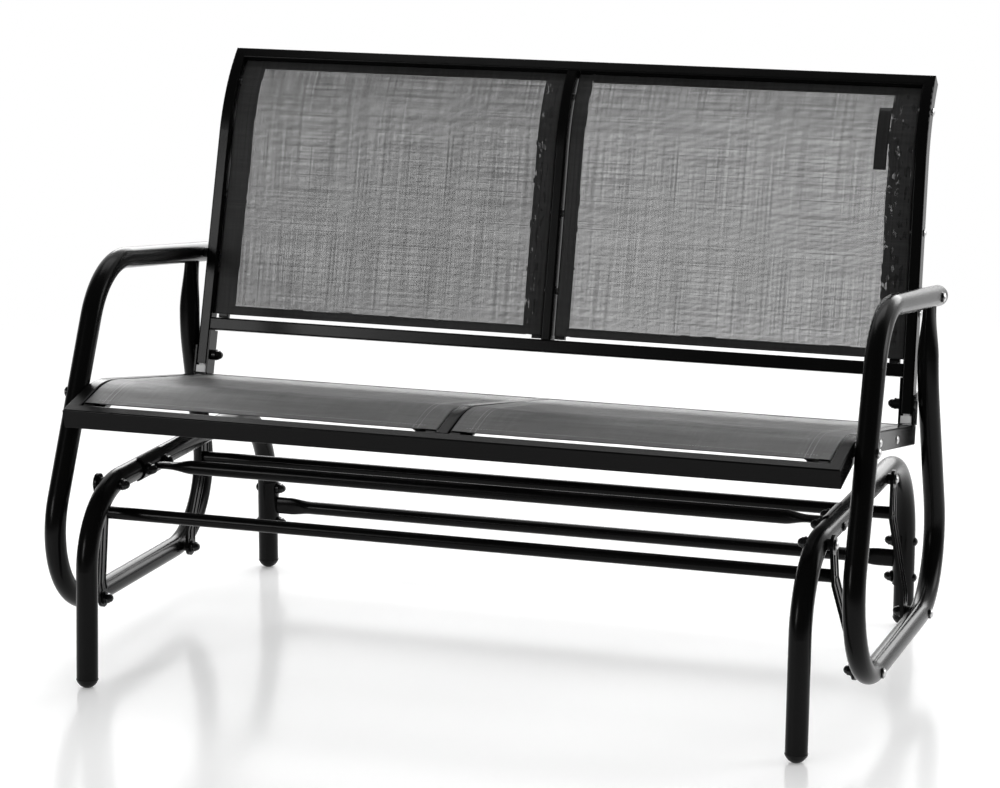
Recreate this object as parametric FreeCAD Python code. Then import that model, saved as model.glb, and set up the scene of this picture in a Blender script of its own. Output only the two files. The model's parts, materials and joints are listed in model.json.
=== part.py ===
"""Two-seat glider bench: a steel base, four swinging hangers, and a seat, back and arms that glide on them.

Millimetres. X runs along the bench to the sitter's left, Y to the rear, Z up.
The origin is on the floor, midway between the four feet.
Every profile lies in a side plane and is written as (y, z) points.
"""
import FreeCAD, Part
import math
import os

V = FreeCAD.Vector

# Round tubes
frame_tube_od = 32.0
frame_tube_wall = 1.5
seam_angle = 40.0
cross_tube_od = 21.0
cross_tube_wall = 1.2
tie_tube_od = 19.0

# Base side frames, one bent tube on each side
base_plane_x = 537.5
foot_y = 348.0
base_front_corner = (-331.0, 289.0)
base_rear_corner = (350.0, 284.0)
base_front_radius = 120.0
base_rear_radius = 142.0

# Feet
foot_height = 13.0
foot_overhang = 0.5
foot_insert = 20.0
foot_dome_rim = 1.0
foot_dome_middle = (12.0, 4.6)
foot_dome_tip_radius = 3.5
foot_press = 0.5

# Cross tubes of the base and the saddles that carry them
upper_cross_y = -124.0
lower_cross_z = 106.5
saddle_length = 80.0
saddle_plate = 2.5
saddle_bolt_spacing = 58.0
saddle_lip = 3.0
pressed_end_width = 28.0
pressed_end_thickness = 10.0
pressed_end_length = 24.0
pressed_end_overrun = 3.0
pressed_blend_length = 34.0
blend_steps = 6

# Pivots: the upper ones on the base frames, the lower ones on the arm loops
front_upper_pivot_y = -244.0
rear_upper_pivot_y = 146.0
front_lower_pivot_y = -192.0
rear_lower_pivot_y = 133.0

# Hangers
hanger_width = 28.0
hanger_depth = 5.0
hanger_rim = 2.2
hanger_groove = 1.2
hanger_bead = 5.0
hanger_upper_flat = 58.0
hanger_lower_flat = 26.0
front_tie_tube_drop = 50.0
rear_tie_tube_drop = 51.5
tie_weld_hole_radius = 3.0
upper_spacer_length = 4.0
lower_spacer_length = 5.6
bush_radius = 9.5
open_pivot_clearance = 2.4

# Arm loops, one bent tube on each side, leaning in towards the top
arm_plane_x = 609.0
side_lean = 0.022
armrest_end = (253.0, 547.0)
arm_front_top_corner = (-138.5, 602.5)
arm_front_low_corner = (-374.0, 92.0)
arm_rear_low_corner = (275.5, 84.0)
arm_upright_knee = (181.5, 452.0)
arm_upright_top = (197.0, 537.0)
arm_front_top_radius = 118.0
arm_front_low_radius = 127.0
arm_rear_low_radius = 120.0
arm_knee_radius = 260.0
crimp_length = 75.0
crimp_width = 40.0
crimp_thickness = 19.0
crimp_valley = 3.0
crimp_groove_radius = 7.0
end_cap_thickness = 4.0
end_cap_round = 2.8
end_cap_insert = 16.0

# Rectangular tubes
tube_corner_radius = 2.5
mitre_reach = 60.0

# Seat frame of rectangular tube, widths across the bench and heights in the side plane
seat_outer_x = 583.0
seat_tube_width = 20.0
seat_tube_height = 30.0
seat_tube_wall = 1.5
seat_front_edge = (-310.5, 409.6)
seat_crest = (-204.4, 434.2)
seat_rear_edge = (188.0, 360.8)
seat_crest_radius = 175.0
centre_bar_width = 18.0

# Back frame of rectangular tube
back_outer_x = 589.2
back_tube_width = 18.0
back_tube_depth = 25.0
back_tube_wall = 1.5
back_lower_end = (167.3, 382.0)
back_bend_start = (260.6, 745.0)
back_bend_radius = 260.0
back_bend_angle = 32.0
back_cross_rail_z = 454.0
back_cross_rail_height = 20.0
centre_post_width = 16.0
back_plug_length = 11.0
back_plug_neck = 3.0
back_plug_neck_inset = 4.0

# Slings and the bars that they are stretched on
cloth_thickness = 2.0
sling_bar_width = 16.0
sling_bar_wall = 1.2
sling_bar_corner = 1.6
sling_plug_length = 3.0
seat_bar_height = 24.0
seat_bar_gap = 2.0
seat_sling_front_setback = 30.0
seat_sling_rear_setback = 22.0
seat_sling_bolts_y = (-176.0, -61.0, 54.0)
seat_sling_bolt_depth = 17.0
back_bar_depth = 10.0
back_sling_depth = 9.5
back_sling_side_gap = 7.7
back_sling_centre_gap = 3.0
back_sling_low_gap = 6.7
back_end_gap = 1.4
back_sling_bolts_z = (524.0, 641.0, 815.0)
back_sling_bolt_depth = 17.0
sling_bolt_end_in_bar = 2.0
tab_width = 19.0
tab_length = 90.0
tab_thickness = 0.8
tab_top_z = 820.0
tab_inset = 34.5

# Corner brackets that join the back to the seat
corner_bracket_plate = 2.5
corner_bracket_rise = 17.0
corner_bracket_reach = 26.0
corner_bracket_round = 3.5
corner_bolt_z = 393.0
corner_head_radius = 7.0
corner_head_height = 2.0
corner_nut_spacer = 6.5

# Bolts that join the arms
arm_seat_bolt_z = 416.0
armrest_bolt_y = 218.0
arm_bolt_end_in_tube = 3.0

# Fasteners
pivot_bolt_radius = 4.0
sling_bolt_radius = 3.0
bolt_head_radius = 6.2
bolt_head_height = 4.0
head_rim_share = 0.35
saddle_head_radius = 5.0
saddle_head_height = 3.0
saddle_washer_radius = 6.5
washer_radius = 7.8
washer_thickness = 1.2
nut_washer_radius = 9.6
spacer_radius = 8.2
nut_height = 12.4
nut_flange_radius = 8.8
nut_flange_height = 2.0
nut_hex_radius = 8.0
nut_hex_height = 4.6
nut_cap_radius = 6.6
bolt_tip_in_nut = 7.4
small_head_radius = 6.0
small_head_height = 3.2

# Clearances, tolerances and how far cutting bodies run past what they cut
running_clearance = 0.05
seat_clearance = 0.1
face_clearance = 0.3
cloth_clearance = 0.4
oval_margin = 1e-8
length_tolerance = 1e-4
overshoot = 1.0

# Sizes that follow from the ones above
frame_tube_radius = frame_tube_od / 2
cross_tube_radius = cross_tube_od / 2
lean_angle = math.atan(side_lean)
hole_radius = pivot_bolt_radius + running_clearance
sling_hole_radius = sling_bolt_radius + running_clearance
hanger_half = hanger_width / 2
trim_reach = 8 * frame_tube_od
half_reach = base_plane_x + 6 * frame_tube_od


def profile_wire(points, radii):
    """A wire in the plane X = 0 through (y, z) points, with each inner corner rounded to its radius."""
    pts = [V(0, y, z) for y, z in points]
    edges = []
    start = pts[0]
    for before, corner, after, radius in zip(pts[:-2], pts[1:-1], pts[2:], radii):
        back = (before - corner).normalize()
        ahead = (after - corner).normalize()
        half = back.getAngle(ahead) / 2
        reach = radius / math.tan(half)
        middle = (back + ahead).normalize()
        centre = corner + middle * (radius / math.sin(half))
        arc_start = corner + back * reach
        arc_end = corner + ahead * reach
        edges.append(Part.LineSegment(start, arc_start).toShape())
        edges.append(Part.Arc(arc_start, centre - middle * radius, arc_end).toShape())
        start = arc_end
    edges.append(Part.LineSegment(start, pts[-1]).toShape())
    return Part.Wire(edges)


def crossing(wire, y=None, z=None, pick=max):
    """The point where a profile wire crosses a depth or a height: of several, the highest or the rearmost."""
    box = wire.BoundBox
    if y is not None:
        ruler = Part.makeLine(V(0, y, box.ZMin), V(0, y, box.ZMax))
    else:
        ruler = Part.makeLine(V(0, box.YMin, z), V(0, box.YMax, z))
    points = [(near.y, near.z) for near, _ in wire.distToShape(ruler)[1]]
    return pick(points, key=lambda point: point[0] if y is None else point[1])


def arc_frame(edge):
    """The centre of an arc, its axis, the angle it turns through and its direction at the start."""
    first, last = edge_ends(edge)
    centre = edge.Curve.Center
    axis = (first - centre).cross(last - centre)
    angle = math.degrees((first - centre).getAngle(last - centre))
    return centre, axis, angle, axis.cross(first - centre)


def tube_along(wire, radius):
    """A round bar that follows a profile wire: a cylinder on each line and part of a ring on each arc."""
    pieces = []
    for edge in wire.OrderedEdges:
        first, last = edge_ends(edge)
        if isinstance(edge.Curve, Part.Line):
            straight = Part.makeCylinder(radius, edge.Length, first, last - first)
            straight.rotate(first, last - first, seam_angle)
            pieces.append(straight)
        else:
            centre, axis, angle, ahead = arc_frame(edge)
            section = Part.Face(Part.Wire([Part.makeCircle(radius, first, ahead)]))
            section.rotate(first, ahead, seam_angle)
            pieces.append(section.revolve(centre, axis, angle))
    return pieces[0].fuse(pieces[1:])


def rod(x_from, x_to, radius, y, z):
    """A round bar along X between two X places."""
    low = min(x_from, x_to)
    return Part.makeCylinder(radius, abs(x_to - x_from), V(low, y, z), V(1, 0, 0))


def block(x, y, z, x_low, y_low, z_low):
    """A box from its size and its low corner."""
    return Part.makeBox(x, y, z, V(x_low, y_low, z_low))


def prism_x(points, x_low, x_high):
    """A solid with a closed (y, z) outline, between two X places."""
    corners = [V(x_low, y, z) for y, z in points]
    face = Part.Face(Part.makePolygon(corners + corners[:1]))
    return face.extrude(V(x_high - x_low, 0, 0))


def mirrored(shape):
    """The same shape on the other side of the bench."""
    return shape.mirror(V(0, 0, 0), V(1, 0, 0))


def both_sides(shape):
    """A right-hand shape and its left-hand mirror image, as separate solids."""
    return Part.makeCompound(solids_of(shape) + solids_of(mirrored(shape)))


def solids_of(shape):
    """The separate solids in a shape."""
    return list(shape.Solids)


def biggest(shape):
    """The largest solid in a shape, without the offcuts."""
    return max(shape.Solids, key=lambda solid: solid.Volume)


def group(shapes):
    """Separate solids that share one node."""
    return Part.makeCompound([solid for shape in shapes for solid in solids_of(shape)])


def leaned(shape, plane_x):
    """A shape made in the plane X = 0, set at its place on the right and leaned in with the side."""
    placed = shape.copy()
    placed.rotate(V(0, 0, 0), V(0, 1, 0), -math.degrees(lean_angle))
    placed.translate(V(plane_x, 0, 0))
    return placed


def leaned_point(point, plane_x):
    """Where a (y, z) point of a leaned side plane lies."""
    y, z = point
    return V(plane_x - z * math.sin(lean_angle), y, z * math.cos(lean_angle))


def ribbon_face(wire, near, far):
    """The strip between two offsets to the right of a profile wire, as a face in the plane X = 0."""
    sides = []
    for distance in (near, far):
        sides.append(offset_wire(wire, distance))
    near_ends = wire_ends(sides[0])
    far_ends = wire_ends(sides[1])
    caps = [Part.makeLine(near_ends[0], far_ends[0]), Part.makeLine(near_ends[1], far_ends[1])]
    outline = Part.Wire(Part.__sortEdges__(sides[0].Edges + sides[1].Edges + caps))
    return Part.Face(outline)


def wire_ends(wire):
    """The first and the last point of an open wire."""
    ordered = wire.OrderedVertexes
    return ordered[0].Point, ordered[-1].Point


def offset_wire(wire, distance):
    """A profile wire moved sideways: a positive distance goes to the right of its direction."""
    edges = []
    for edge in wire.OrderedEdges:
        first, last = edge_ends(edge)
        if isinstance(edge.Curve, Part.Line):
            side = side_vector(last - first) * distance
            edges.append(Part.makeLine(first + side, last + side))
        else:
            centre = edge.Curve.Center
            middle = edge.valueAt((edge.FirstParameter + edge.LastParameter) / 2)
            turn = side_vector(last - first).dot(centre - middle)
            grow = distance if turn < 0 else -distance
            scale = (edge.Curve.Radius + grow) / edge.Curve.Radius
            moved = [centre + (point - centre) * scale for point in (first, middle, last)]
            edges.append(Part.Arc(*moved).toShape())
    return Part.Wire(edges)


def edge_ends(edge):
    """The two ends of an edge in its running direction."""
    return edge.firstVertex(True).Point, edge.lastVertex(True).Point


def side_vector(direction):
    """The unit vector to the right of a direction in the (y, z) plane."""
    return V(0, direction.z, -direction.y).normalize()


def ribbon(wire, near, far, x_low, x_high):
    """A bent rectangular bar that follows a profile wire between two X places."""
    strip = ribbon_face(wire, near, far)
    strip.translate(V(x_low, 0, 0))
    return strip.extrude(V(x_high - x_low, 0, 0))


def rounded_face(corner, across, down, radius):
    """A rectangle with rounded corners, from one corner and its two sides."""
    bulge = radius * (1 - math.sqrt(0.5))
    sides = [across, down, across * -1, down * -1]
    edges = []
    start = corner
    for side, following in zip(sides, sides[1:] + sides[:1]):
        ahead = V(side).normalize()
        turn = V(following).normalize()
        end = start + side
        leave = end - ahead * radius
        edges.append(Part.makeLine(start + ahead * radius, leave))
        edges.append(Part.Arc(leave, end + (turn - ahead) * bulge, end + turn * radius).toShape())
        start = end
    return Part.Face(Part.Wire(edges))


def box_bar(wire, near, far, x_low, x_high, radius):
    """A rectangular bar with rounded corners that follows a profile wire between two X places."""
    pieces = []
    for edge in wire.OrderedEdges:
        first, last = edge_ends(edge)
        straight = isinstance(edge.Curve, Part.Line)
        if straight:
            ahead = last - first
        else:
            centre, axis, angle, ahead = arc_frame(edge)
        side = side_vector(ahead)
        corner = first + side * near + V(x_low, 0, 0)
        section = rounded_face(corner, V(x_high - x_low, 0, 0), side * (far - near), radius)
        pieces.append(section.extrude(ahead) if straight else section.revolve(centre, axis, angle))
    return pieces[0].fuse(pieces[1:]) if pieces[1:] else pieces[0]


def box_tube(wire, near, depth, wall, x_low, x_high, radius):
    """A bent rectangular tube, open at both ends."""
    outer = box_bar(wire, near, near + depth, x_low, x_high, radius)
    bore = box_bar(wire, near + wall, near + depth - wall, x_low + wall, x_high - wall, radius - wall)
    return outer.cut(bore)


def cross_box_tube(wire, start, end, depth, wall, half_length):
    """A rectangular tube along X whose section lies between two lengths along a profile wire."""
    first, last = wire_ends(stretch(wire, start, end))
    along = last - first
    unit = V(along).normalize()
    side = side_vector(along)
    corner = first - V(half_length, 0, 0)
    length = V(2 * half_length, 0, 0)
    outer = rounded_face(corner, along, side * depth, tube_corner_radius).extrude(length)
    corner = corner + (unit + side) * wall
    hollow = rounded_face(corner, along - unit * (2 * wall), side * (depth - 2 * wall), tube_corner_radius - wall)
    return outer.cut(hollow.extrude(length))


def mitre_wedge(corner, inward, normal, depth, for_cross_tube):
    """A wedge with a face at 45 degrees through a right-hand corner, cut from one of the two tubes there."""
    out = V(1, 0, 0)
    beyond = (out + inward) * (1 if for_cross_tube else -1)
    points = [corner + arm * mitre_reach - normal * mitre_reach for arm in (out - inward, inward - out, beyond)]
    face = Part.Face(Part.makePolygon(points + points[:1]))
    return face.extrude(normal * (depth + 2 * mitre_reach))


def stretch(wire, start, end):
    """The part of a profile wire between two lengths along it."""
    edges = []
    done = 0.0
    for edge in wire.OrderedEdges:
        length = edge.Length
        low = max(start - done, 0.0)
        high = min(end - done, length)
        if high - low > length_tolerance:
            edges.append(edge_piece(edge, low, high))
        done += length
    return Part.Wire(edges)


def edge_piece(edge, low, high):
    """The part of one edge between two lengths from its running start."""
    places = [edge_point(edge, low), edge_point(edge, (low + high) / 2), edge_point(edge, high)]
    if isinstance(edge.Curve, Part.Line):
        return Part.makeLine(places[0], places[2])
    return Part.Arc(*places).toShape()


def edge_point(edge, distance):
    """A point at a distance along an edge from its running start."""
    if edge.Orientation == "Reversed":
        distance = edge.Length - distance
    return edge.valueAt(edge.getParameterByLength(distance))


def length_to(wire, y=None, z=None):
    """The length along a profile wire to the place where it crosses a depth or a height."""
    target_y, target_z = crossing(wire, y=y, z=z)
    target = V(0, target_y, target_z)
    done = 0.0
    for edge in wire.OrderedEdges:
        first = edge_ends(edge)[0]
        if edge.distToShape(Part.Vertex(target))[0] < length_tolerance:
            if isinstance(edge.Curve, Part.Line):
                return done + (target - first).Length
            centre = edge.Curve.Center
            return done + edge.Curve.Radius * (target - centre).getAngle(first - centre)
        done += edge.Length
    return done


def place_on(wire, length):
    """The point at a length along a profile wire, and the direction there."""
    done = 0.0
    for edge in wire.OrderedEdges:
        if length < done + edge.Length + length_tolerance:
            break
        done += edge.Length
    point = edge_point(edge, length - done)
    if isinstance(edge.Curve, Part.Line):
        first, last = edge_ends(edge)
        return point, (last - first).normalize()
    centre, axis, angle, ahead = arc_frame(edge)
    return point, axis.cross(point - centre).normalize()


def ellipse_wire(centre, axis, wide, width, thickness):
    """An oval section: its middle, the tube's direction, its wide direction and its two sizes."""
    curve = Part.Ellipse(centre + wide * (width / 2), centre + axis.cross(wide) * (thickness / 2), centre)
    return Part.Wire([curve.toShape()])


def oval_blend(places, tube_od, width, thickness):
    """A solid that turns from round to oval through a run of (point, direction, wide direction) places."""
    sections = []
    for step, (point, ahead, wide) in enumerate(places):
        share = step / (len(places) - 1)
        ease = share * share * (3 - 2 * share)
        here_wide = tube_od + oval_margin + (width - tube_od) * ease
        sections.append(ellipse_wire(point, ahead, wide, here_wide, tube_od + (thickness - tube_od) * ease))
    return Part.makeLoft(sections, True, False)


def turned(corners, crown_x, y, z):
    """A body turned about an axis along X: (x, radius) corners, then a dome that closes on the axis at crown_x."""
    points = [V(x, radius, 0) for x, radius in corners]
    rim = points[-1]
    tip = V(crown_x, 0, 0)
    height = abs(crown_x - rim.x)
    outward = 1 if crown_x > rim.x else -1
    ball = (rim.y ** 2 + height ** 2) / (2 * height)
    half = math.atan2(rim.y, ball - height) / 2
    middle = V(crown_x - outward * ball * (1 - math.cos(half)), ball * math.sin(half), 0)
    edges = [Part.makeLine(a, b) for a, b in zip(points[:-1], points[1:])]
    edges.append(Part.Arc(rim, middle, tip).toShape())
    edges.append(Part.makeLine(tip, points[0]))
    body = Part.Face(Part.Wire(edges)).revolve(V(0, 0, 0), V(1, 0, 0), 360)
    body.translate(V(0, y, z))
    return body


def bolt(seat_x, tip_x, y, z, size=None):
    """A bolt along X with a domed head on seat_x and a shank that ends at tip_x."""
    radius, head_radius, head_height = size or (pivot_bolt_radius, bolt_head_radius, bolt_head_height)
    outward = 1 if seat_x > tip_x else -1
    rim_x = seat_x + outward * head_height * head_rim_share
    corners = [(tip_x, 0), (tip_x, radius), (seat_x, radius), (seat_x, head_radius), (rim_x, head_radius)]
    return turned(corners, seat_x + outward * head_height, y, z)


def cap_nut(seat_x, y, z, bolt_tip_x):
    """A flanged hexagon nut under a rounded cap, sitting on seat_x and pointing to the middle of the bench."""
    flange_x = seat_x - nut_flange_height
    hexagon_x = flange_x - nut_hex_height
    corners = []
    for i in range(6):
        turn = math.radians(60 * i)
        corners.append((y + nut_hex_radius * math.cos(turn), z + nut_hex_radius * math.sin(turn)))
    hexagon = prism_x(corners, hexagon_x, flange_x)
    profile = [(seat_x, 0), (seat_x, nut_flange_radius), (flange_x, nut_flange_radius), (flange_x, nut_cap_radius),
               (hexagon_x, nut_cap_radius)]
    body = turned(profile, seat_x - nut_height, y, z).fuse(hexagon)
    return body.cut(rod(seat_x + overshoot, bolt_tip_x - seat_clearance, hole_radius, y, z))


def ring_along(x_from, x_to, radius, y, z):
    """A flat washer on a pivot bolt."""
    return rod(x_from, x_to, radius, y, z).cut(rod(x_from, x_to, hole_radius, y, z))


def saddle_ring(x_from, x_to, radius, y, z, tube):
    """A spacer along X whose end is hollowed to sit on a round tube."""
    return biggest(ring_along(x_from, x_to, radius, y, z).cut(tube))


def save(name, shape):
    """Write one node."""
    shape.exportStep(os.path.join("parts", name + ".step"))


os.makedirs("parts", exist_ok=True)

# Side profiles
base_profile = profile_wire(
    [(-foot_y, 0.0), base_front_corner, base_rear_corner, (foot_y, 0.0)],
    [base_front_radius, base_rear_radius],
)
arm_profile = profile_wire(
    [armrest_end, arm_front_top_corner, arm_front_low_corner, arm_rear_low_corner, arm_upright_knee,
     arm_upright_top],
    [arm_front_top_radius, arm_front_low_radius, arm_rear_low_radius, arm_knee_radius],
)
seat_profile = profile_wire([seat_front_edge, seat_crest, seat_rear_edge], [seat_crest_radius])


def back_profile_wire():
    """The front face of a back tube: a straight lower run and an arc that rolls back at the top."""
    start = V(0, *back_lower_end)
    bend = V(0, *back_bend_start)
    rise = (bend - start).normalize()
    rear = V(0, rise.z, -rise.y)
    centre = bend + rear * back_bend_radius

    def on_arc(angle):
        turn = math.radians(angle)
        return centre - rear * (back_bend_radius * math.cos(turn)) + rise * (back_bend_radius * math.sin(turn))

    arc = Part.Arc(bend, on_arc(back_bend_angle / 2), on_arc(back_bend_angle)).toShape()
    return Part.Wire([Part.makeLine(start, bend), arc])


back_profile = back_profile_wire()

# Pivot points on the two sorts of side tube
front_upper = V(base_plane_x, *crossing(base_profile, y=front_upper_pivot_y))
rear_upper = V(base_plane_x, *crossing(base_profile, y=rear_upper_pivot_y))
front_lower = leaned_point(crossing(arm_profile, y=front_lower_pivot_y, pick=min), arm_plane_x)
rear_lower = leaned_point(crossing(arm_profile, y=rear_lower_pivot_y, pick=min), arm_plane_x)
base_outer_x = base_plane_x + frame_tube_radius
base_inner_x = base_plane_x - frame_tube_radius
hanger_upper_x = base_outer_x + upper_spacer_length + face_clearance


# Base side frames
def base_side_frame():
    """One bent tube with its bolt holes."""
    run = stretch(base_profile, foot_height, base_profile.Length - foot_height)
    outer = tube_along(run, frame_tube_radius)
    bore = tube_along(run, frame_tube_radius - frame_tube_wall)
    solid = outer.cut(bore)
    solid.translate(V(base_plane_x, 0, 0))
    outer.translate(V(base_plane_x, 0, 0))
    holes = [rod(0, half_reach, hole_radius, y, z) for y, z in base_bolt_places()]
    return solid.cut(holes), outer


def saddle_places():
    """The middle of each saddle and the direction of the tube there."""
    upper = V(0, *crossing(base_profile, y=upper_cross_y))
    ahead = V(0, base_rear_corner[0] - base_front_corner[0], base_rear_corner[1] - base_front_corner[1])
    lower = V(0, *crossing(base_profile, z=lower_cross_z))
    down = V(0, foot_y - base_rear_corner[0], -base_rear_corner[1])
    return [(upper, ahead.normalize()), (lower, down.normalize())]


def base_bolt_places():
    """Every bolt through a base side frame: two for each saddle and one for each upper pivot."""
    places = [(front_upper.y, front_upper.z), (rear_upper.y, rear_upper.z)]
    for middle, along in saddle_places():
        for step in (-saddle_bolt_spacing / 2, saddle_bolt_spacing / 2):
            place = middle + along * step
            places.append((place.y, place.z))
    return places


side_frame, side_frame_body = base_side_frame()
save("base_side_frame_right", side_frame)
save("base_side_frame_left", mirrored(side_frame))


def foot(y, lean_y):
    """A domed plug in the end of a leg, pressed flat where it stands."""
    radius = frame_tube_radius + foot_overhang
    insert_radius = frame_tube_radius - frame_tube_wall - seat_clearance
    rim = V(radius, 0, foot_height - foot_dome_rim)
    middle = V(foot_dome_middle[0], 0, foot_dome_middle[1])
    tip = V(foot_dome_tip_radius, 0, -foot_press)
    corners = [(radius, foot_height), (insert_radius, foot_height), (insert_radius, foot_height + foot_insert),
               (0, foot_height + foot_insert), (0, -foot_press)]
    points = [rim] + [V(r, 0, z) for r, z in corners] + [tip]
    outline = [Part.makeLine(start, end) for start, end in zip(points[:-1], points[1:])]
    outline.append(Part.Arc(tip, middle, rim).toShape())
    solid = Part.Face(Part.Wire(outline)).revolve(V(0, 0, 0), V(0, 0, 1), 360)
    solid.rotate(V(0, 0, 0), V(1, 0, 0), -math.degrees(lean_y))
    solid.translate(V(base_plane_x, y, 0))
    reach = trim_reach
    floor = block(2 * reach, 2 * reach, foot_height, base_plane_x - reach, y - reach, -foot_height)
    return solid.cut(floor)


front_lean = math.atan2(base_front_corner[0] + foot_y, base_front_corner[1])
rear_lean = math.atan2(base_rear_corner[0] - foot_y, base_rear_corner[1])
save("base_feet", both_sides(group([foot(-foot_y, front_lean), foot(foot_y, rear_lean)])))


# Saddles and cross tubes
def saddle(middle, along):
    """A half shell that hugs the inner side of a base tube and takes two bolts."""
    inner = frame_tube_radius + seat_clearance
    outer = inner + saddle_plate
    start = middle - along * (saddle_length / 2) + V(base_plane_x, 0, 0)
    shell = Part.makeCylinder(outer, saddle_length, start, along)
    shell = shell.cut(Part.makeCylinder(inner, saddle_length, start, along))
    reach = trim_reach
    open_side = block(reach, 2 * reach, 2 * reach, base_plane_x - saddle_lip, middle.y - reach, middle.z - reach)
    shell = shell.cut(open_side)
    for step in (-saddle_bolt_spacing / 2, saddle_bolt_spacing / 2):
        place = middle + along * step
        shell = shell.cut(rod(0, half_reach, hole_radius, place.y, place.z))
    return shell


def pressed_cross_tube(middle, wide):
    """A round cross tube whose two ends are pressed to an oval and welded to the saddles."""
    saddle_face = base_plane_x - frame_tube_radius - seat_clearance - saddle_plate
    flat_x = saddle_face - pressed_end_length
    round_x = flat_x - pressed_blend_length
    axis = V(1, 0, 0)
    start = middle - axis * round_x
    pieces = [Part.makeCylinder(cross_tube_radius, 2 * round_x, start, axis)]
    for side in (-1, 1):
        places = []
        for step in range(blend_steps + 1):
            x = side * (round_x + pressed_blend_length * step / blend_steps)
            places.append((middle + axis * x, axis, wide))
        pieces.append(oval_blend(places, cross_tube_od, pressed_end_width, pressed_end_thickness))
        end = ellipse_wire(places[-1][0], axis, wide, pressed_end_width, pressed_end_thickness)
        pieces.append(Part.Face(end).extrude(axis * (side * (pressed_end_length + pressed_end_overrun))))
    bore = Part.makeCylinder(cross_tube_radius - cross_tube_wall, 2 * round_x, start, axis)
    return pieces[0].fuse(pieces[1:]).cut(bore)


def end_trims(place, along):
    """The round faces of the two saddles that the pressed ends are cut to."""
    radius = frame_tube_radius + saddle_plate + 2 * seat_clearance
    trims = []
    for side in (-1, 1):
        start = place + V(side * base_plane_x, 0, 0) - along * trim_reach
        trims.append(Part.makeCylinder(radius, 2 * trim_reach, start, along))
    return trims


(upper_saddle_at, upper_along), (lower_saddle_at, lower_along) = saddle_places()
save("upper_saddles", both_sides(saddle(upper_saddle_at, upper_along)))
save("lower_saddles", both_sides(saddle(lower_saddle_at, lower_along)))

for name, place, along in (
    ("upper_cross_tube", upper_saddle_at, upper_along),
    ("lower_cross_tube", lower_saddle_at, lower_along),
):
    save(name, pressed_cross_tube(place, along).cut(end_trims(place, along)))


# Bolts, nuts and washers of the base
def base_fasteners():
    """Right-hand bolts, cap nuts and washers that clamp the saddles to the side frames."""
    bolts, nuts, washers = [], [], []
    saddle_face = base_inner_x - seat_clearance - saddle_plate
    inner_seat = saddle_face - washer_thickness
    outer_seat = base_outer_x + washer_thickness
    tip = inner_seat - bolt_tip_in_nut
    for y, z in base_bolt_places()[2:]:
        bolts.append(bolt(outer_seat, tip, y, z, (pivot_bolt_radius, saddle_head_radius, saddle_head_height)))
        nuts.append(cap_nut(inner_seat, y, z, tip))
        washers.append(saddle_ring(base_plane_x, outer_seat, saddle_washer_radius, y, z, side_frame_body))
        washers.append(ring_along(inner_seat, saddle_face, nut_washer_radius, y, z))
    return bolts, nuts, washers


saddle_bolts, saddle_nuts, saddle_washers = base_fasteners()
save("saddle_bolts", both_sides(group(saddle_bolts)))
save("saddle_cap_nuts", both_sides(group(saddle_nuts)))
save("saddle_bolt_washers", both_sides(group(saddle_washers)))


def upper_pivot_hardware():
    """The bolts that the hangers swing on, with a spacer, an outer washer and a cap nut each."""
    bolts, nuts, spacers, washers = [], [], [], []
    spacer_end = base_outer_x + upper_spacer_length
    washer_start = hanger_upper_x + hanger_depth + face_clearance
    tip = base_inner_x - bolt_tip_in_nut
    for pivot in (front_upper, rear_upper):
        y, z = pivot.y, pivot.z
        bolts.append(bolt(washer_start + washer_thickness, tip, y, z))
        nuts.append(cap_nut(base_inner_x, y, z, tip))
        spacers.append(saddle_ring(base_plane_x, spacer_end, spacer_radius, y, z, side_frame_body))
        washers.append(ring_along(washer_start, washer_start + washer_thickness, washer_radius, y, z))
    return bolts, nuts, spacers, washers


pivot_bolts, pivot_nuts, pivot_spacers, pivot_washers = upper_pivot_hardware()
save("upper_pivot_bolts", both_sides(group(pivot_bolts)))
save("upper_pivot_cap_nuts", both_sides(group(pivot_nuts)))
save("upper_pivot_spacers", both_sides(group(pivot_spacers)))
save("upper_pivot_washers", both_sides(group(pivot_washers)))


# Hangers
def stadium(length, half_width, x_low, x_high):
    """A strip with round ends, from the upper pivot at the origin down to the lower one."""
    bar = block(x_high - x_low, 2 * half_width, length, x_low, -half_width, -length)
    ends = [rod(x_low, x_high, half_width, 0, 0), rod(x_low, x_high, half_width, 0, -length)]
    return bar.fuse(ends)


def joggled_slab(length, offset, near, far):
    """A plate that steps outward by offset between its upper and lower flats."""
    over = hanger_width
    line = [(0, over), (0, -hanger_upper_flat), (offset, -(length - hanger_lower_flat)), (offset, -length - over)]
    outline = [V(x + near, -over, z) for x, z in line] + [V(x + far, -over, z) for x, z in reversed(line)]
    face = Part.Face(Part.makePolygon(outline + outline[:1]))
    return face.extrude(V(0, 2 * over, 0))


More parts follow.
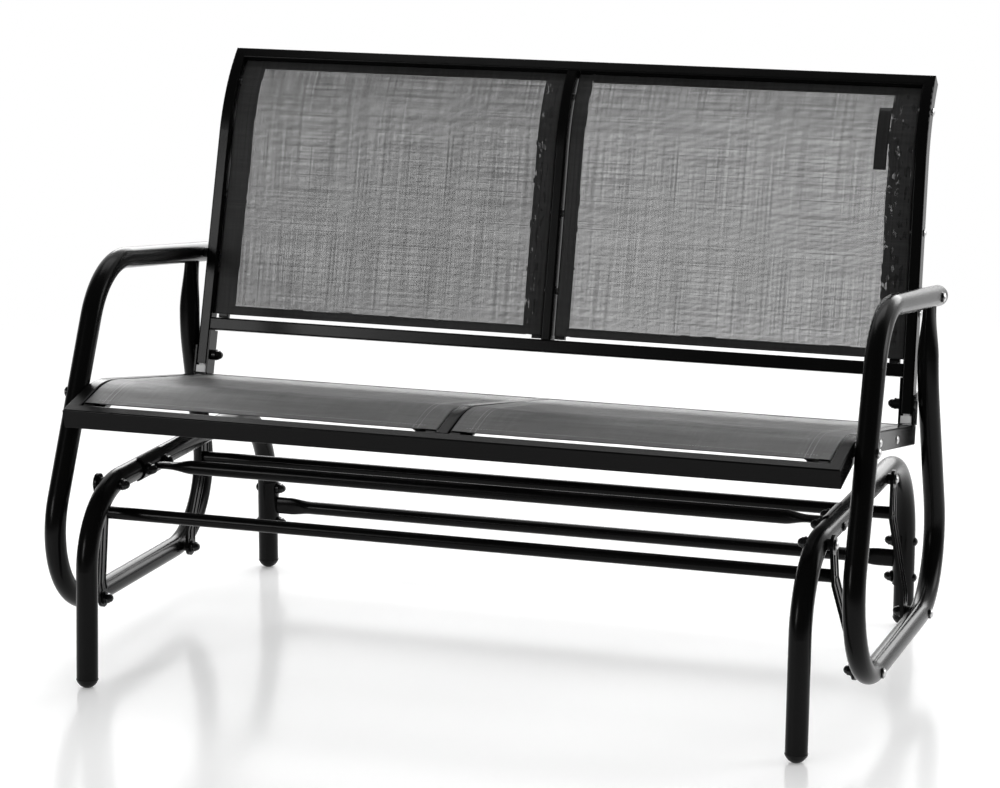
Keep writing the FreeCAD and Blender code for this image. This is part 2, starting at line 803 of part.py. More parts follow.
def hanger(upper, lower, tube_drop):
    """A pressed hanger: rims, a middle bead and two eyes, placed between its two pivots."""
    span = V(0, lower.y - upper.y, lower.z - upper.z)
    length = span.Length
    offset = hanger_lower_x - hanger_upper_x
    wide = offset + 2 * hanger_depth
    solid = joggled_slab(length, offset, 0, hanger_depth).common(stadium(length, hanger_half, -wide, wide))
    web = stadium(length, hanger_half - hanger_rim, -wide, wide)
    eyes = [rod(-wide, wide, hanger_half, 0, 0), rod(-wide, wide, hanger_half, 0, -length)]
    bead = block(2 * wide, hanger_bead, length, -wide, -hanger_bead / 2, -length)
    web = web.cut(eyes + [bead])
    skins = [
        joggled_slab(length, offset, -overshoot, hanger_groove),
        joggled_slab(length, offset, hanger_depth - hanger_groove, hanger_depth + overshoot),
    ]
    for skin in skins:
        solid = solid.cut(skin.common(web))
    bores = [rod(-wide, wide, bush_radius, 0, 0), rod(-wide, wide, bush_radius, 0, -length)]
    bores.append(rod(-wide, wide, tie_weld_hole_radius, 0, -tube_drop))
    solid = solid.cut(bores)
    solid.rotate(V(0, 0, 0), V(1, 0, 0), math.degrees(math.atan2(span.y, -span.z)))
    solid.translate(V(hanger_upper_x, upper.y, upper.z))
    return solid


def bush(x_low, pivot, bore_radius):
    """A plain bearing bush in a hanger's eye."""
    ring = rod(x_low, x_low + hanger_depth, bush_radius - running_clearance, pivot.y, pivot.z)
    return ring.cut(rod(0, half_reach, bore_radius, pivot.y, pivot.z))


def tie_tube(upper, lower, tube_drop):
    """The round tube that joins a left and a right hanger a short way below their upper pivots."""
    along = V(0, lower.y - upper.y, lower.z - upper.z).normalize()
    middle = V(0, upper.y, upper.z) + along * tube_drop
    reach = hanger_upper_x - seat_clearance
    outer = rod(-reach, reach, tie_tube_od / 2, middle.y, middle.z)
    return outer.cut(rod(-reach, reach, tie_tube_od / 2 - cross_tube_wall, middle.y, middle.z))


arm_inner_x = min(front_lower.x, rear_lower.x) - frame_tube_radius
hanger_lower_x = arm_inner_x - lower_spacer_length - face_clearance - hanger_depth

for name, upper, lower, tube_drop, lower_bore in (
    ("front", front_upper, front_lower, front_tie_tube_drop, hole_radius),
    ("rear", rear_upper, rear_lower, rear_tie_tube_drop, pivot_bolt_radius + open_pivot_clearance),
):
    right_hanger = hanger(upper, lower, tube_drop)
    save(name + "_hanger_right", right_hanger)
    save(name + "_hanger_left", mirrored(right_hanger))
    save(name + "_hanger_tie_tube", tie_tube(upper, lower, tube_drop))
    bushes = group([bush(hanger_upper_x, upper, hole_radius), bush(hanger_lower_x, lower, lower_bore)])
    save(name + "_hanger_bushes", both_sides(bushes))


# Arm loops
def arm_loop():
    """One bent tube from the armrest round to an upright whose crimped end is welded under the armrest."""
    round_end = arm_profile.Length - crimp_length
    run = stretch(arm_profile, 0, round_end)
    outer = tube_along(run, frame_tube_radius)
    bore = tube_along(run, frame_tube_radius - frame_tube_wall)
    places = []
    for step in range(blend_steps + 1):
        point, ahead = place_on(arm_profile, round_end + crimp_length * step / blend_steps)
        places.append((point, ahead, side_vector(ahead)))
    crimp = oval_blend(places, frame_tube_od, crimp_width, crimp_thickness)
    top, ahead, wide = places[-1]
    into_armrest = ahead * frame_tube_radius
    top_face = Part.Face(ellipse_wire(top, ahead, wide, crimp_width, crimp_thickness))
    crimp = crimp.fuse(top_face.extrude(into_armrest))
    for side in (-1, 1):
        start = places[0][0] + V(side * (frame_tube_radius + crimp_groove_radius), 0, 0)
        end = top + into_armrest + V(side * (crimp_thickness / 2 + crimp_groove_radius - crimp_valley), 0, 0)
        groove_length = (end - start).Length + overshoot
        crimp = crimp.cut(Part.makeCylinder(crimp_groove_radius, groove_length, start, end - start))
    return outer.fuse(crimp).cut(bore), outer


arm_flat, arm_flat_body = arm_loop()
arm_body = leaned(arm_flat_body, arm_plane_x)
arm_seat_bolt = leaned_point(crossing(arm_profile, z=arm_seat_bolt_z, pick=min), arm_plane_x)
armrest_bolt = leaned_point(crossing(arm_profile, y=armrest_bolt_y), arm_plane_x)
arm_bolt_places = [front_lower, rear_lower, arm_seat_bolt, armrest_bolt]
arm_right = leaned(arm_flat, arm_plane_x).cut([
    rod(place.x - frame_tube_od, place.x + frame_tube_od, hole_radius, place.y, place.z)
    for place in arm_bolt_places
])
save("arm_loop_right", arm_right)
save("arm_loop_left", mirrored(arm_right))


def armrest_cap():
    """A round plug in the open rear end of an armrest."""
    end, ahead = V(0, *armrest_end), V(0, *arm_front_top_corner)
    outward = (end - ahead).normalize()
    cap = Part.makeCylinder(frame_tube_radius, end_cap_thickness, end, outward)
    rims = [edge for edge in cap.Edges if isinstance(edge.Curve, Part.Circle)]
    cap = cap.makeFillet(end_cap_round, [max(rims, key=lambda rim: rim.Curve.Center.y)])
    insert_radius = frame_tube_radius - frame_tube_wall - seat_clearance
    insert = Part.makeCylinder(insert_radius, end_cap_insert, end - outward * end_cap_insert, outward)
    return leaned(cap.fuse(insert).removeSplitter(), arm_plane_x)


save("armrest_end_caps", both_sides(armrest_cap()))


def lower_pivot_hardware():
    """The bolts that carry the glider on the hangers, with spacer, washer and cap nut."""
    bolts, nuts, spacers, washers = [], [], [], []
    spacer_end = hanger_lower_x + hanger_depth + face_clearance
    washer_face = hanger_lower_x - face_clearance
    nut_seat = washer_face - washer_thickness
    tip = nut_seat - bolt_tip_in_nut
    for pivot in (front_lower, rear_lower):
        y, z = pivot.y, pivot.z
        outer_seat = pivot.x + frame_tube_radius + washer_thickness
        bolts.append(bolt(outer_seat, tip, y, z))
        nuts.append(cap_nut(nut_seat, y, z, tip))
        spacers.append(saddle_ring(spacer_end, pivot.x, spacer_radius, y, z, arm_body))
        washers.append(saddle_ring(pivot.x, outer_seat, washer_radius, y, z, arm_body))
        washers.append(ring_along(nut_seat, washer_face, nut_washer_radius, y, z))
    return bolts, nuts, spacers, washers


pivot_bolts, pivot_nuts, pivot_spacers, pivot_washers = lower_pivot_hardware()
save("lower_pivot_bolts", both_sides(group(pivot_bolts)))
save("lower_pivot_cap_nuts", both_sides(group(pivot_nuts)))
save("lower_pivot_spacers", both_sides(group(pivot_spacers)))


# Seat frame
seat_inner_x = seat_outer_x - seat_tube_width
seat_length = seat_profile.Length


def seat_mitres(for_cross_tube):
    """The wedges at the front and at the rear right-hand corner of the seat frame."""
    wedges = []
    for edge, sign in ((seat_profile.OrderedEdges[0], 1), (seat_profile.OrderedEdges[-1], -1)):
        first, last = edge_ends(edge)
        rearward = (last - first).normalize()
        corner = (first if sign > 0 else last) + V(seat_outer_x, 0, 0)
        down = side_vector(rearward)
        wedges.append(mitre_wedge(corner, rearward * sign, down, seat_tube_height, for_cross_tube))
    return wedges


def seat_bolt_places():
    """Where the sling bolts pass: some way under the seat's surface."""
    line = offset_wire(seat_profile, seat_sling_bolt_depth)
    return [crossing(line, y=y) for y in seat_sling_bolts_y]


def sling_holes(places):
    """The cutting rods for the sling bolts, right through the bench."""
    return [rod(-half_reach, half_reach, sling_hole_radius, y, z) for y, z in places]


def seat_side_rail():
    """A bent rectangular tube, mitred at both ends."""
    rail = box_tube(seat_profile, 0, seat_tube_height, seat_tube_wall, seat_inner_x, seat_outer_x,
                    tube_corner_radius)
    holes = sling_holes(seat_bolt_places())
    holes.append(rod(0, half_reach, hole_radius, arm_seat_bolt.y, arm_seat_bolt.z))
    return biggest(rail.cut(seat_mitres(False) + holes))


def seat_end_rail(start, end, wedge):
    """The front or the rear rail, a tilted rectangular tube mitred to the side rails."""
    tube = cross_box_tube(seat_profile, start, end, seat_tube_height, seat_tube_wall, seat_outer_x)
    return biggest(tube.cut([wedge, mirrored(wedge)]))


side_rail = seat_side_rail()
front_wedge, rear_wedge = seat_mitres(True)
save("seat_side_rail_right", side_rail)
save("seat_side_rail_left", mirrored(side_rail))
save("seat_front_rail", seat_end_rail(0, seat_tube_width, front_wedge))
save("seat_rear_rail", seat_end_rail(seat_length - seat_tube_width, seat_length, rear_wedge))

centre_run = stretch(seat_profile, seat_tube_width + seat_clearance, seat_length - seat_tube_width - seat_clearance)
centre_bar = box_tube(centre_run, 0, seat_tube_height, seat_tube_wall, -centre_bar_width / 2, centre_bar_width / 2,
                      tube_corner_radius)
save("seat_centre_bar", centre_bar.cut(sling_holes(seat_bolt_places())))

# Seat slings, their bars, bolts and spacers
seat_bar_outer = seat_inner_x - seat_bar_gap
seat_bar_inner = centre_bar_width / 2 + seat_bar_gap
seat_sling_run = stretch(seat_profile, seat_sling_front_setback, seat_length - seat_sling_rear_setback)
sling = ribbon(seat_sling_run, 0, cloth_thickness, seat_bar_inner, seat_bar_outer)
save("seat_sling_right", sling)
save("seat_sling_left", mirrored(sling))


def sling_bar(run, near, height, x_low):
    """A flat tube that one side of a sling is hemmed round."""
    body = stretch(run, sling_plug_length, run.Length - sling_plug_length)
    return box_tube(body, near, height, sling_bar_wall, x_low, x_low + sling_bar_width, sling_bar_corner)


def bar_plugs(run, near, height, x_low):
    """The two end plugs of a sling bar."""
    plugs = []
    for start in (0, run.Length - sling_plug_length):
        piece = stretch(run, start, start + sling_plug_length)
        plugs.append(box_bar(piece, near, near + height, x_low, x_low + sling_bar_width, sling_bar_corner))
    return plugs


seat_bar_near = cloth_thickness + cloth_clearance
seat_bar_run = stretch(seat_profile, seat_tube_width + face_clearance,
                       seat_length - seat_tube_width - face_clearance)
seat_bars, seat_plugs = [], []
for x_low in (seat_bar_inner, seat_bar_outer - sling_bar_width):
    bar = sling_bar(seat_bar_run, seat_bar_near, seat_bar_height, x_low)
    seat_bars.append(bar.cut(sling_holes(seat_bolt_places())))
    seat_plugs += bar_plugs(seat_bar_run, seat_bar_near, seat_bar_height, x_low)
save("seat_sling_bars", both_sides(group(seat_bars)))
save("seat_sling_bar_plugs", both_sides(group(seat_plugs)))


def spacer_tube(x_from, x_to, y, z):
    """A short spacer round a sling bolt."""
    ring = rod(x_from, x_to, 2 * sling_bolt_radius, y, z)
    return ring.cut(rod(x_from, x_to, sling_hole_radius, y, z))


def small_bolt(seat_x, tip_x, y, z):
    """A sling bolt."""
    return bolt(seat_x, tip_x, y, z, (sling_bolt_radius, small_head_radius, small_head_height))


seat_bolts, seat_spacers, seat_studs = [], [], []
stud_reach = seat_bar_inner + sling_bar_width - sling_bolt_end_in_bar
for y, z in seat_bolt_places():
    seat_bolts.append(small_bolt(seat_outer_x, seat_bar_outer - sling_bar_width + sling_bolt_end_in_bar, y, z))
    seat_spacers.append(spacer_tube(seat_bar_outer, seat_inner_x, y, z))
    seat_spacers.append(spacer_tube(centre_bar_width / 2, seat_bar_inner, y, z))
    seat_studs.append(rod(-stud_reach, stud_reach, sling_bolt_radius, y, z))
save("seat_sling_bolts", both_sides(group(seat_bolts)))
save("seat_sling_spacers", both_sides(group(seat_spacers)))
save("seat_centre_studs", group(seat_studs))


# Back frame
back_length = back_profile.Length
back_top = wire_ends(back_profile)[1]


def back_face_x(z):
    """The outer face of a back side tube at a height."""
    return back_outer_x - z * side_lean


def top_mitre(for_cross_tube):
    """The wedge at the top right-hand corner of the back frame."""
    inner = wire_ends(stretch(back_profile, back_length - back_tube_width, back_length))[0]
    down = (inner - back_top).normalize()
    corner = V(leaned_point((back_top.y, back_top.z), back_outer_x).x, back_top.y, back_top.z)
    return mitre_wedge(corner, down, side_vector(back_top - inner), back_tube_depth, for_cross_tube)


def back_bolt_places():
    """Where the back sling bolts pass through the side tubes and the centre post."""
    line = offset_wire(back_profile, back_sling_bolt_depth)
    return [crossing(line, z=z) for z in back_sling_bolts_z]


def back_side_tube():
    """A tall rectangular tube, straight and then rolled back, mitred to the top rail."""
    tube = box_tube(back_profile, 0, back_tube_depth, back_tube_wall, -back_tube_width, 0, tube_corner_radius)
    holes = sling_holes(back_bolt_places())
    for place in (corner_bolt, armrest_bolt):
        holes.append(rod(0, half_reach, hole_radius, place.y, place.z))
    return biggest(leaned(tube, back_outer_x).cut([top_mitre(False)] + holes))


corner_bolt = V(0, *crossing(offset_wire(back_profile, back_tube_depth / 2), z=corner_bolt_z))
back_tube = back_side_tube()
save("back_side_tube_right", back_tube)
save("back_side_tube_left", mirrored(back_tube))

top_wedge = top_mitre(True)
top_half = leaned_point((back_top.y, back_top.z), back_outer_x).x
top_rail = cross_box_tube(back_profile, back_length - back_tube_width, back_length, back_tube_depth, back_tube_wall,
                          top_half)
save("back_top_rail", biggest(top_rail.cut([top_wedge, mirrored(top_wedge)])))

cross_top = length_to(back_profile, z=back_cross_rail_z)
cross_half = back_face_x(back_cross_rail_z) - back_tube_width - seat_clearance
save("back_cross_rail", cross_box_tube(back_profile, cross_top - back_cross_rail_height, cross_top,
                                       back_tube_depth, back_tube_wall, cross_half))

back_free_end = back_length - back_tube_width - back_end_gap
post_run = stretch(back_profile, cross_top + seat_clearance, back_free_end)
post = box_tube(post_run, 0, back_tube_depth, back_tube_wall, -centre_post_width / 2, centre_post_width / 2,
                tube_corner_radius)
save("back_centre_post", post.cut(sling_holes(back_bolt_places())))


def back_tube_plug():
    """A pale plug in the open lower end of a back side tube, with a narrow neck under the tube's end."""
    end = V(0, *back_lower_end)
    rise = (V(0, *back_bend_start) - end).normalize()
    head_top = end - rise * back_plug_neck
    head_line = Part.Wire([Part.makeLine(head_top - rise * back_plug_length, head_top)])
    head = box_bar(head_line, 0, back_tube_depth, -back_tube_width, 0, tube_corner_radius)
    inset = back_plug_neck_inset
    neck_line = Part.Wire([Part.makeLine(head_top, end)])
    neck = ribbon(neck_line, inset, back_tube_depth - inset, inset - back_tube_width, -inset)
    wall = back_tube_wall + seat_clearance
    insert_line = Part.Wire([Part.makeLine(end, end + rise * back_plug_length)])
    insert = box_bar(insert_line, wall, back_tube_depth - wall, wall - back_tube_width, -wall, tube_corner_radius)
    room = rod(0, half_reach, washer_radius, corner_bolt.y, corner_bolt.z)
    return biggest(leaned(head.fuse([neck, insert]), back_outer_x).cut(room))


save("back_tube_plugs", both_sides(back_tube_plug()))

# Back slings, bars, studs and spacers: their outer sides lean with the side tubes
back_sling_run = stretch(back_profile, cross_top + back_sling_low_gap, back_free_end)
back_bar_inner = centre_post_width / 2 + back_sling_centre_gap
back_bar_outer = -back_tube_width - back_sling_side_gap
sling = ribbon(back_sling_run, back_sling_depth, back_sling_depth + cloth_thickness, back_bar_inner, back_outer_x)
beyond_sling = block(half_reach, 2 * half_reach, 2 * half_reach, back_bar_outer, -half_reach, 0)
sling = biggest(sling.cut(leaned(beyond_sling, back_outer_x)))
save("back_sling_right", sling)
save("back_sling_left", mirrored(sling))

back_bar_near = back_sling_depth + cloth_thickness + cloth_clearance
back_bar_run = stretch(back_profile, cross_top + back_end_gap, back_free_end)
back_bars = [
    sling_bar(back_bar_run, back_bar_near, back_bar_depth, back_bar_inner),
    leaned(sling_bar(back_bar_run, back_bar_near, back_bar_depth, back_bar_outer - sling_bar_width), back_outer_x),
]
back_plugs = bar_plugs(back_bar_run, back_bar_near, back_bar_depth, back_bar_inner)
for plug in bar_plugs(back_bar_run, back_bar_near, back_bar_depth, back_bar_outer - sling_bar_width):
    back_plugs.append(leaned(plug, back_outer_x))
back_bars = [bar.cut(sling_holes(back_bolt_places())) for bar in back_bars]
save("back_sling_bars", both_sides(group(back_bars)))
save("back_sling_bar_plugs", both_sides(group(back_plugs)))

back_bolts, back_spacers, back_studs = [], [], []
stud_reach = back_bar_inner + sling_bar_width - sling_bolt_end_in_bar
for y, z in back_bolt_places():
    outer_face = back_face_x(z)
    inner_face = outer_face - back_tube_width
    bar_face = inner_face - back_sling_side_gap
    bolt_end = bar_face - sling_bar_width + sling_bolt_end_in_bar
    back_bolts.append(small_bolt(outer_face + face_clearance, bolt_end, y, z))
    back_spacers.append(spacer_tube(bar_face + face_clearance, inner_face - face_clearance, y, z))
    back_spacers.append(spacer_tube(centre_post_width / 2, back_bar_inner, y, z))
    back_studs.append(rod(-stud_reach, stud_reach, sling_bolt_radius, y, z))
save("back_sling_bolts", both_sides(group(back_bolts)))
save("back_sling_spacers", both_sides(group(back_spacers)))
save("back_centre_studs", group(back_studs))

tab_top = length_to(back_profile, z=tab_top_z)
tab_run = stretch(back_profile, tab_top - tab_length, tab_top)
tab_outer = back_face_x(tab_top_z) + back_bar_outer - tab_inset
tab = ribbon(tab_run, back_sling_depth - cloth_clearance - tab_thickness, back_sling_depth - cloth_clearance,
             tab_outer - tab_width, tab_outer)
save("sling_tab", tab)


# Corner brackets between back and seat
def corner_bracket():
    """A channel that stands on the seat's rear corner and hugs the foot of a back side tube."""
    low = V(0, *back_lower_end)
    rise = (V(0, *back_bend_start) - low).normalize()
    inner_top = low + rise * (cross_top - back_cross_rail_height - face_clearance)
    line = Part.Wire([Part.makeLine(low - rise * corner_bracket_reach, inner_top)])
    plate = corner_bracket_plate
    gap = seat_clearance
    outer = ribbon(line, back_tube_depth - corner_bracket_reach, back_tube_depth + plate + gap,
                   -back_tube_width - plate - gap, plate + gap)
    hollow = ribbon(line, -back_tube_depth, back_tube_depth + gap, -back_tube_width - gap, gap)
    reach = trim_reach
    above = block(reach, 2 * reach, reach, -back_tube_width / 2, low.y - reach, corner_bolt_z + corner_bracket_rise)
    channel = leaned(outer.cut(hollow).cut(above), back_outer_x)
    crest_y, crest_z = seat_crest
    rear_y, rear_z = seat_rear_edge
    beyond = (2 * rear_y - crest_y, 2 * rear_z - crest_z)
    seat_line = profile_wire([seat_front_edge, seat_crest, beyond], [seat_crest_radius])
    below = ribbon(seat_line, -seat_clearance, reach, 0, half_reach)
    channel = biggest(channel.cut(below))
    across = [edge for edge in channel.Edges if edge.BoundBox.XLength > edge.Length / 2]
    front_feet = sorted(across, key=lambda edge: edge.CenterOfMass.z + edge.CenterOfMass.y)[:2]
    channel = channel.makeFillet(corner_bracket_round, front_feet)
    return channel.cut(rod(0, half_reach, hole_radius, corner_bolt.y, corner_bolt.z))


save("corner_brackets", both_sides(corner_bracket()))

bracket_gap = corner_bracket_plate + seat_clearance + face_clearance
bracket_outer = back_face_x(corner_bolt.z) + bracket_gap
bracket_inner = back_face_x(corner_bolt.z) - back_tube_width - bracket_gap
corner_nut_seat = bracket_inner - corner_nut_spacer
tip = corner_nut_seat - bolt_tip_in_nut
corner_size = (pivot_bolt_radius, corner_head_radius, corner_head_height)
corner_spacer = ring_along(corner_nut_seat, bracket_inner, spacer_radius, corner_bolt.y, corner_bolt.z)
save("corner_bolts", both_sides(bolt(bracket_outer, tip, corner_bolt.y, corner_bolt.z, corner_size)))
save("corner_cap_nuts", both_sides(cap_nut(corner_nut_seat, corner_bolt.y, corner_bolt.z, tip)))


# Bolts that join the arms to the seat and to the back
def arm_joint(place, inner_face, tip_x):
    """A bolt through an arm loop, with a washer outside and a spacer inside."""
    outer_seat = place.x + frame_tube_radius + washer_thickness
    washer = saddle_ring(place.x, outer_seat, washer_radius, place.y, place.z, arm_body)
    spacer = saddle_ring(inner_face + seat_clearance, place.x, spacer_radius, place.y, place.z, arm_body)
    return bolt(outer_seat, tip_x, place.y, place.z), washer, spacer


seat_joint = arm_joint(arm_seat_bolt, seat_outer_x, seat_inner_x + arm_bolt_end_in_tube)
back_face = back_face_x(armrest_bolt.z)
back_joint = arm_joint(armrest_bolt, back_face + seat_clearance, back_face - back_tube_width + arm_bolt_end_in_tube)
save("arm_bolts", both_sides(group([seat_joint[0], back_joint[0]])))
save("glider_bolt_washers", both_sides(group([seat_joint[1], back_joint[1], corner_spacer] + pivot_washers)))
save("arm_spacers", both_sides(group([seat_joint[2], back_joint[2]])))

print("hanger lengths", round(math.hypot(front_lower.y - front_upper.y, front_lower.z - front_upper.z), 2),
      round(math.hypot(rear_lower.y - rear_upper.y, rear_lower.z - rear_upper.z), 2))
for name, point in (("front_upper", front_upper), ("rear_upper", rear_upper), ("front_lower", front_lower),
                    ("rear_lower", rear_lower)):
    print(name, round(point.x, 3), round(point.y, 3), round(point.z, 3))
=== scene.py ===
# %% [markdown]
# # A glider bench with woven mesh slings
#
# The bench is a frame of black coated steel tube that hangs on four swinging links, with mesh cloth
# stretched over its seat and back. The steel comes ready made from the CAD model. This script gives each
# steel piece its finish, and makes the soft pieces: the four slings, their stitching and the small tab.

# %% Load the frame
import json
import math

import bmesh
import bpy
from mathutils import Matrix, Vector, noise
from mathutils.bvhtree import BVHTree


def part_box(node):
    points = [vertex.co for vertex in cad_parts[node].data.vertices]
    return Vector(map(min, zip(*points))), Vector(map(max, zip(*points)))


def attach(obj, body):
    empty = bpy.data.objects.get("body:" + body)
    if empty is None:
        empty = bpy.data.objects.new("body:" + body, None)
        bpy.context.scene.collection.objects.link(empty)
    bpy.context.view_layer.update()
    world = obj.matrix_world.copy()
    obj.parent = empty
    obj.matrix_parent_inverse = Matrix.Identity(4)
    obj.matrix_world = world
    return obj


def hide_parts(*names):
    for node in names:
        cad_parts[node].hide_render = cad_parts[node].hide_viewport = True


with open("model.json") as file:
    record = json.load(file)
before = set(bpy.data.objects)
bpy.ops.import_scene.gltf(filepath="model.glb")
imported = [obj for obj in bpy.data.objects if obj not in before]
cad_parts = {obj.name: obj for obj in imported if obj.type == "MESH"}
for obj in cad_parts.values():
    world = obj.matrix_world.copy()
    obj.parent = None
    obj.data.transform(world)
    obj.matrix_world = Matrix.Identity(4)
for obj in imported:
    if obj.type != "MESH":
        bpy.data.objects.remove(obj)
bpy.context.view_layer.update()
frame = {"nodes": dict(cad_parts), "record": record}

nodes = frame["nodes"]

# %% [markdown]
# ## The camera
#
# A photograph fixes its camera: where straight tubes point tells the angle of view, and how fast they
# shrink with distance tells how far away it stood. Here a long lens looks from the sitter's left, a little
# from above. The turn is written as three plain rotations, one after the other, because that is how a
# photographer sets a tripod: swing round, tip down, level.

# %% Camera
image_width = 1000
focal_px = 3372.0
swing = 0.32772
tip_down = 0.22298
level = -0.00207

camera_data = bpy.data.cameras.new("camera")
camera_data.sensor_width = 36.0
camera_data.lens = focal_px * camera_data.sensor_width / image_width
camera_data.shift_x = -0.00153
camera_data.clip_end = 50.0
camera = bpy.data.objects.new("camera", camera_data)
turn = Matrix.Rotation(swing, 4, "Z") @ Matrix.Rotation(math.pi / 2 - tip_down, 4, "X")
camera.matrix_world = Matrix.Translation((1.57704, -4.66297, 1.52373)) @ turn @ Matrix.Rotation(level, 4, "Z")
bpy.context.scene.collection.objects.link(camera)
bpy.context.scene.camera = camera
print("lens", round(camera_data.lens, 1), "mm")

# %% [markdown]
# ## The studio
#
# Black tubes are drawn by what they mirror, not by their own colour. In a photographer's studio a white
# wall stands behind the object and the room behind the camera is dim, so a black tube shows a dark middle
# and pale edges. The world does the same: the camera sees pure white, a mirror sees white to the rear and
# dusk to the front, and as a light the world is even and soft.

# %% World
rear_white = 1.0
front_dusk = 0.05
dusk_ends = 0.05
white_starts = 0.62
ambient_level = 0.54

scene = bpy.context.scene
scene.view_settings.view_transform = "Standard"
world = bpy.data.worlds.new("studio")
world.use_nodes = True
scene.world = world
room = world.node_tree
room.nodes.clear()


def background(strength):
    """A white background of one strength, or of a strength that a socket gives."""
    node = room.nodes.new("ShaderNodeBackground")
    node.inputs["Color"].default_value = (1.0, 1.0, 1.0, 1.0)
    if isinstance(strength, bpy.types.NodeSocket):
        room.links.new(strength, node.inputs["Strength"])
    else:
        node.inputs["Strength"].default_value = strength
    return node.outputs[0]


def choose(factor, when_zero, when_one):
    """One of two shaders, by a factor."""
    node = room.nodes.new("ShaderNodeMixShader")
    room.links.new(factor, node.inputs["Fac"])
    room.links.new(when_zero, node.inputs[1])
    room.links.new(when_one, node.inputs[2])
    return node.outputs[0]


heading = room.nodes.new("ShaderNodeTexCoord")
heading_parts = room.nodes.new("ShaderNodeSeparateXYZ")
room.links.new(heading.outputs["Generated"], heading_parts.inputs[0])
rearward = room.nodes.new("ShaderNodeMapRange")
rearward.interpolation_type = "SMOOTHSTEP"
rearward.inputs["From Min"].default_value = dusk_ends
rearward.inputs["From Max"].default_value = white_starts
rearward.inputs["To Min"].default_value = front_dusk
rearward.inputs["To Max"].default_value = rear_white
room.links.new(heading_parts.outputs["Y"], rearward.inputs["Value"])

paths = room.nodes.new("ShaderNodeLightPath")
lit = background(ambient_level)
mirrored_room = background(rearward.outputs["Result"])
backdrop = background(1.0)
seen = room.nodes.new("ShaderNodeMath")
seen.operation = "MAXIMUM"
room.links.new(paths.outputs["Is Camera Ray"], seen.inputs[0])
room.links.new(paths.outputs["Is Transmission Ray"], seen.inputs[1])
room_out = room.nodes.new("ShaderNodeOutputWorld")
indirect = choose(paths.outputs["Is Glossy Ray"], lit, mirrored_room)
room.links.new(choose(seen.outputs[0], indirect, backdrop), room_out.inputs["Surface"])
print("world: mirrors see", front_dusk, "to the front and", rear_white, "to the rear")

# %% [markdown]
# Softboxes draw the long highlights. A tall one at the front left shows in the flat faces of the back's
# left tube, a wide one behind the bench catches the tops of the tubes at a glancing angle, and one at the
# right and one overhead give the cloth its soft shading. None of them is in the picture itself.


# %% Softboxes
def softbox(name, place, target, width, height, radiance):
    """A large rectangular lamp that points at a target. Its power follows from its brightness and size."""
    data = bpy.data.lights.new(name, "AREA")
    data.shape = "RECTANGLE"
    data.size = width
    data.size_y = height
    data.energy = radiance * math.pi * width * height
    lamp = bpy.data.objects.new(name, data)
    direction = Vector(target) - Vector(place)
    lamp.matrix_world = Matrix.Translation(place) @ direction.to_track_quat("-Z", "Y").to_matrix().to_4x4()
    lamp.visible_camera = False
    bpy.context.scene.collection.objects.link(lamp)
    print(name, round(data.energy, 1), "W")
    return lamp


bench_middle = (0.0, 0.0, 0.45)
softbox("front_left_softbox", (-2.6, -4.6, 1.75), (-0.4, 0.0, 0.5), width=0.9, height=1.5, radiance=8.5)
softbox("rear_softbox", (-0.3, 4.2, 1.95), (0.0, 0.0, 0.5), width=5.6, height=1.7, radiance=4.8)
softbox("right_softbox", (3.6, 1.5, 1.6), bench_middle, width=1.5, height=1.5, radiance=4.0)
softbox("top_softbox", (-0.3, 0.9, 3.0), bench_middle, width=2.4, height=1.2, radiance=2.0)

# %% [markdown]
# ## The floor
#
# The bench stands on a white floor that runs into a white wall with no line between them. One disc is
# enough: it mirrors the legs very faintly, and it fades into the white world soon behind the bench. To the
# camera and to mirrors it shines a little by itself, which lifts it to white and leaves its shadows.

# %% Floor
floor_radius = 7.0
fade_start = 1.3
fade_end = 2.8
floor_white = 0.95
floor_gloss = 0.06
gloss_roughness = 0.16
floor_lift = 0.17

floor_mesh = bpy.data.meshes.new("floor")
disc = bmesh.new()
bmesh.ops.create_circle(disc, cap_ends=True, radius=floor_radius, segments=96)
disc.to_mesh(floor_mesh)
disc.free()
floor = bpy.data.objects.new("floor", floor_mesh)
bpy.context.scene.collection.objects.link(floor)

floor_paint = bpy.data.materials.new("white_floor")
floor_paint.use_nodes = True
tree = floor_paint.node_tree
floor_coat = tree.nodes["Principled BSDF"]
floor_coat.inputs["Base Color"].default_value = (floor_white, floor_white, floor_white, 1.0)
floor_coat.inputs["Specular IOR Level"].default_value = 0.0
floor_coat.inputs["Roughness"].default_value = 1.0
floor_coat.inputs["Emission Color"].default_value = (1.0, 1.0, 1.0, 1.0)
floor_paths = tree.nodes.new("ShaderNodeLightPath")
looked_at = tree.nodes.new("ShaderNodeMath")
looked_at.operation = "MAXIMUM"
tree.links.new(floor_paths.outputs["Is Camera Ray"], looked_at.inputs[0])
tree.links.new(floor_paths.outputs["Is Glossy Ray"], looked_at.inputs[1])
lift = tree.nodes.new("ShaderNodeMath")
lift.operation = "MULTIPLY"
lift.inputs[1].default_value = floor_lift
tree.links.new(looked_at.outputs[0], lift.inputs[0])
tree.links.new(lift.outputs[0], floor_coat.inputs["Emission Strength"])
sheen = tree.nodes.new("ShaderNodeBsdfGlossy")
sheen.inputs["Roughness"].default_value = gloss_roughness
glazed = tree.nodes.new("ShaderNodeMixShader")
glazed.inputs["Fac"].default_value = floor_gloss
tree.links.new(floor_coat.outputs["BSDF"], glazed.inputs[1])
tree.links.new(sheen.outputs["BSDF"], glazed.inputs[2])
where = tree.nodes.new("ShaderNodeTexCoord")
distance = tree.nodes.new("ShaderNodeVectorMath")
distance.operation = "LENGTH"
tree.links.new(where.outputs["Object"], distance.inputs[0])
fade = tree.nodes.new("ShaderNodeMapRange")
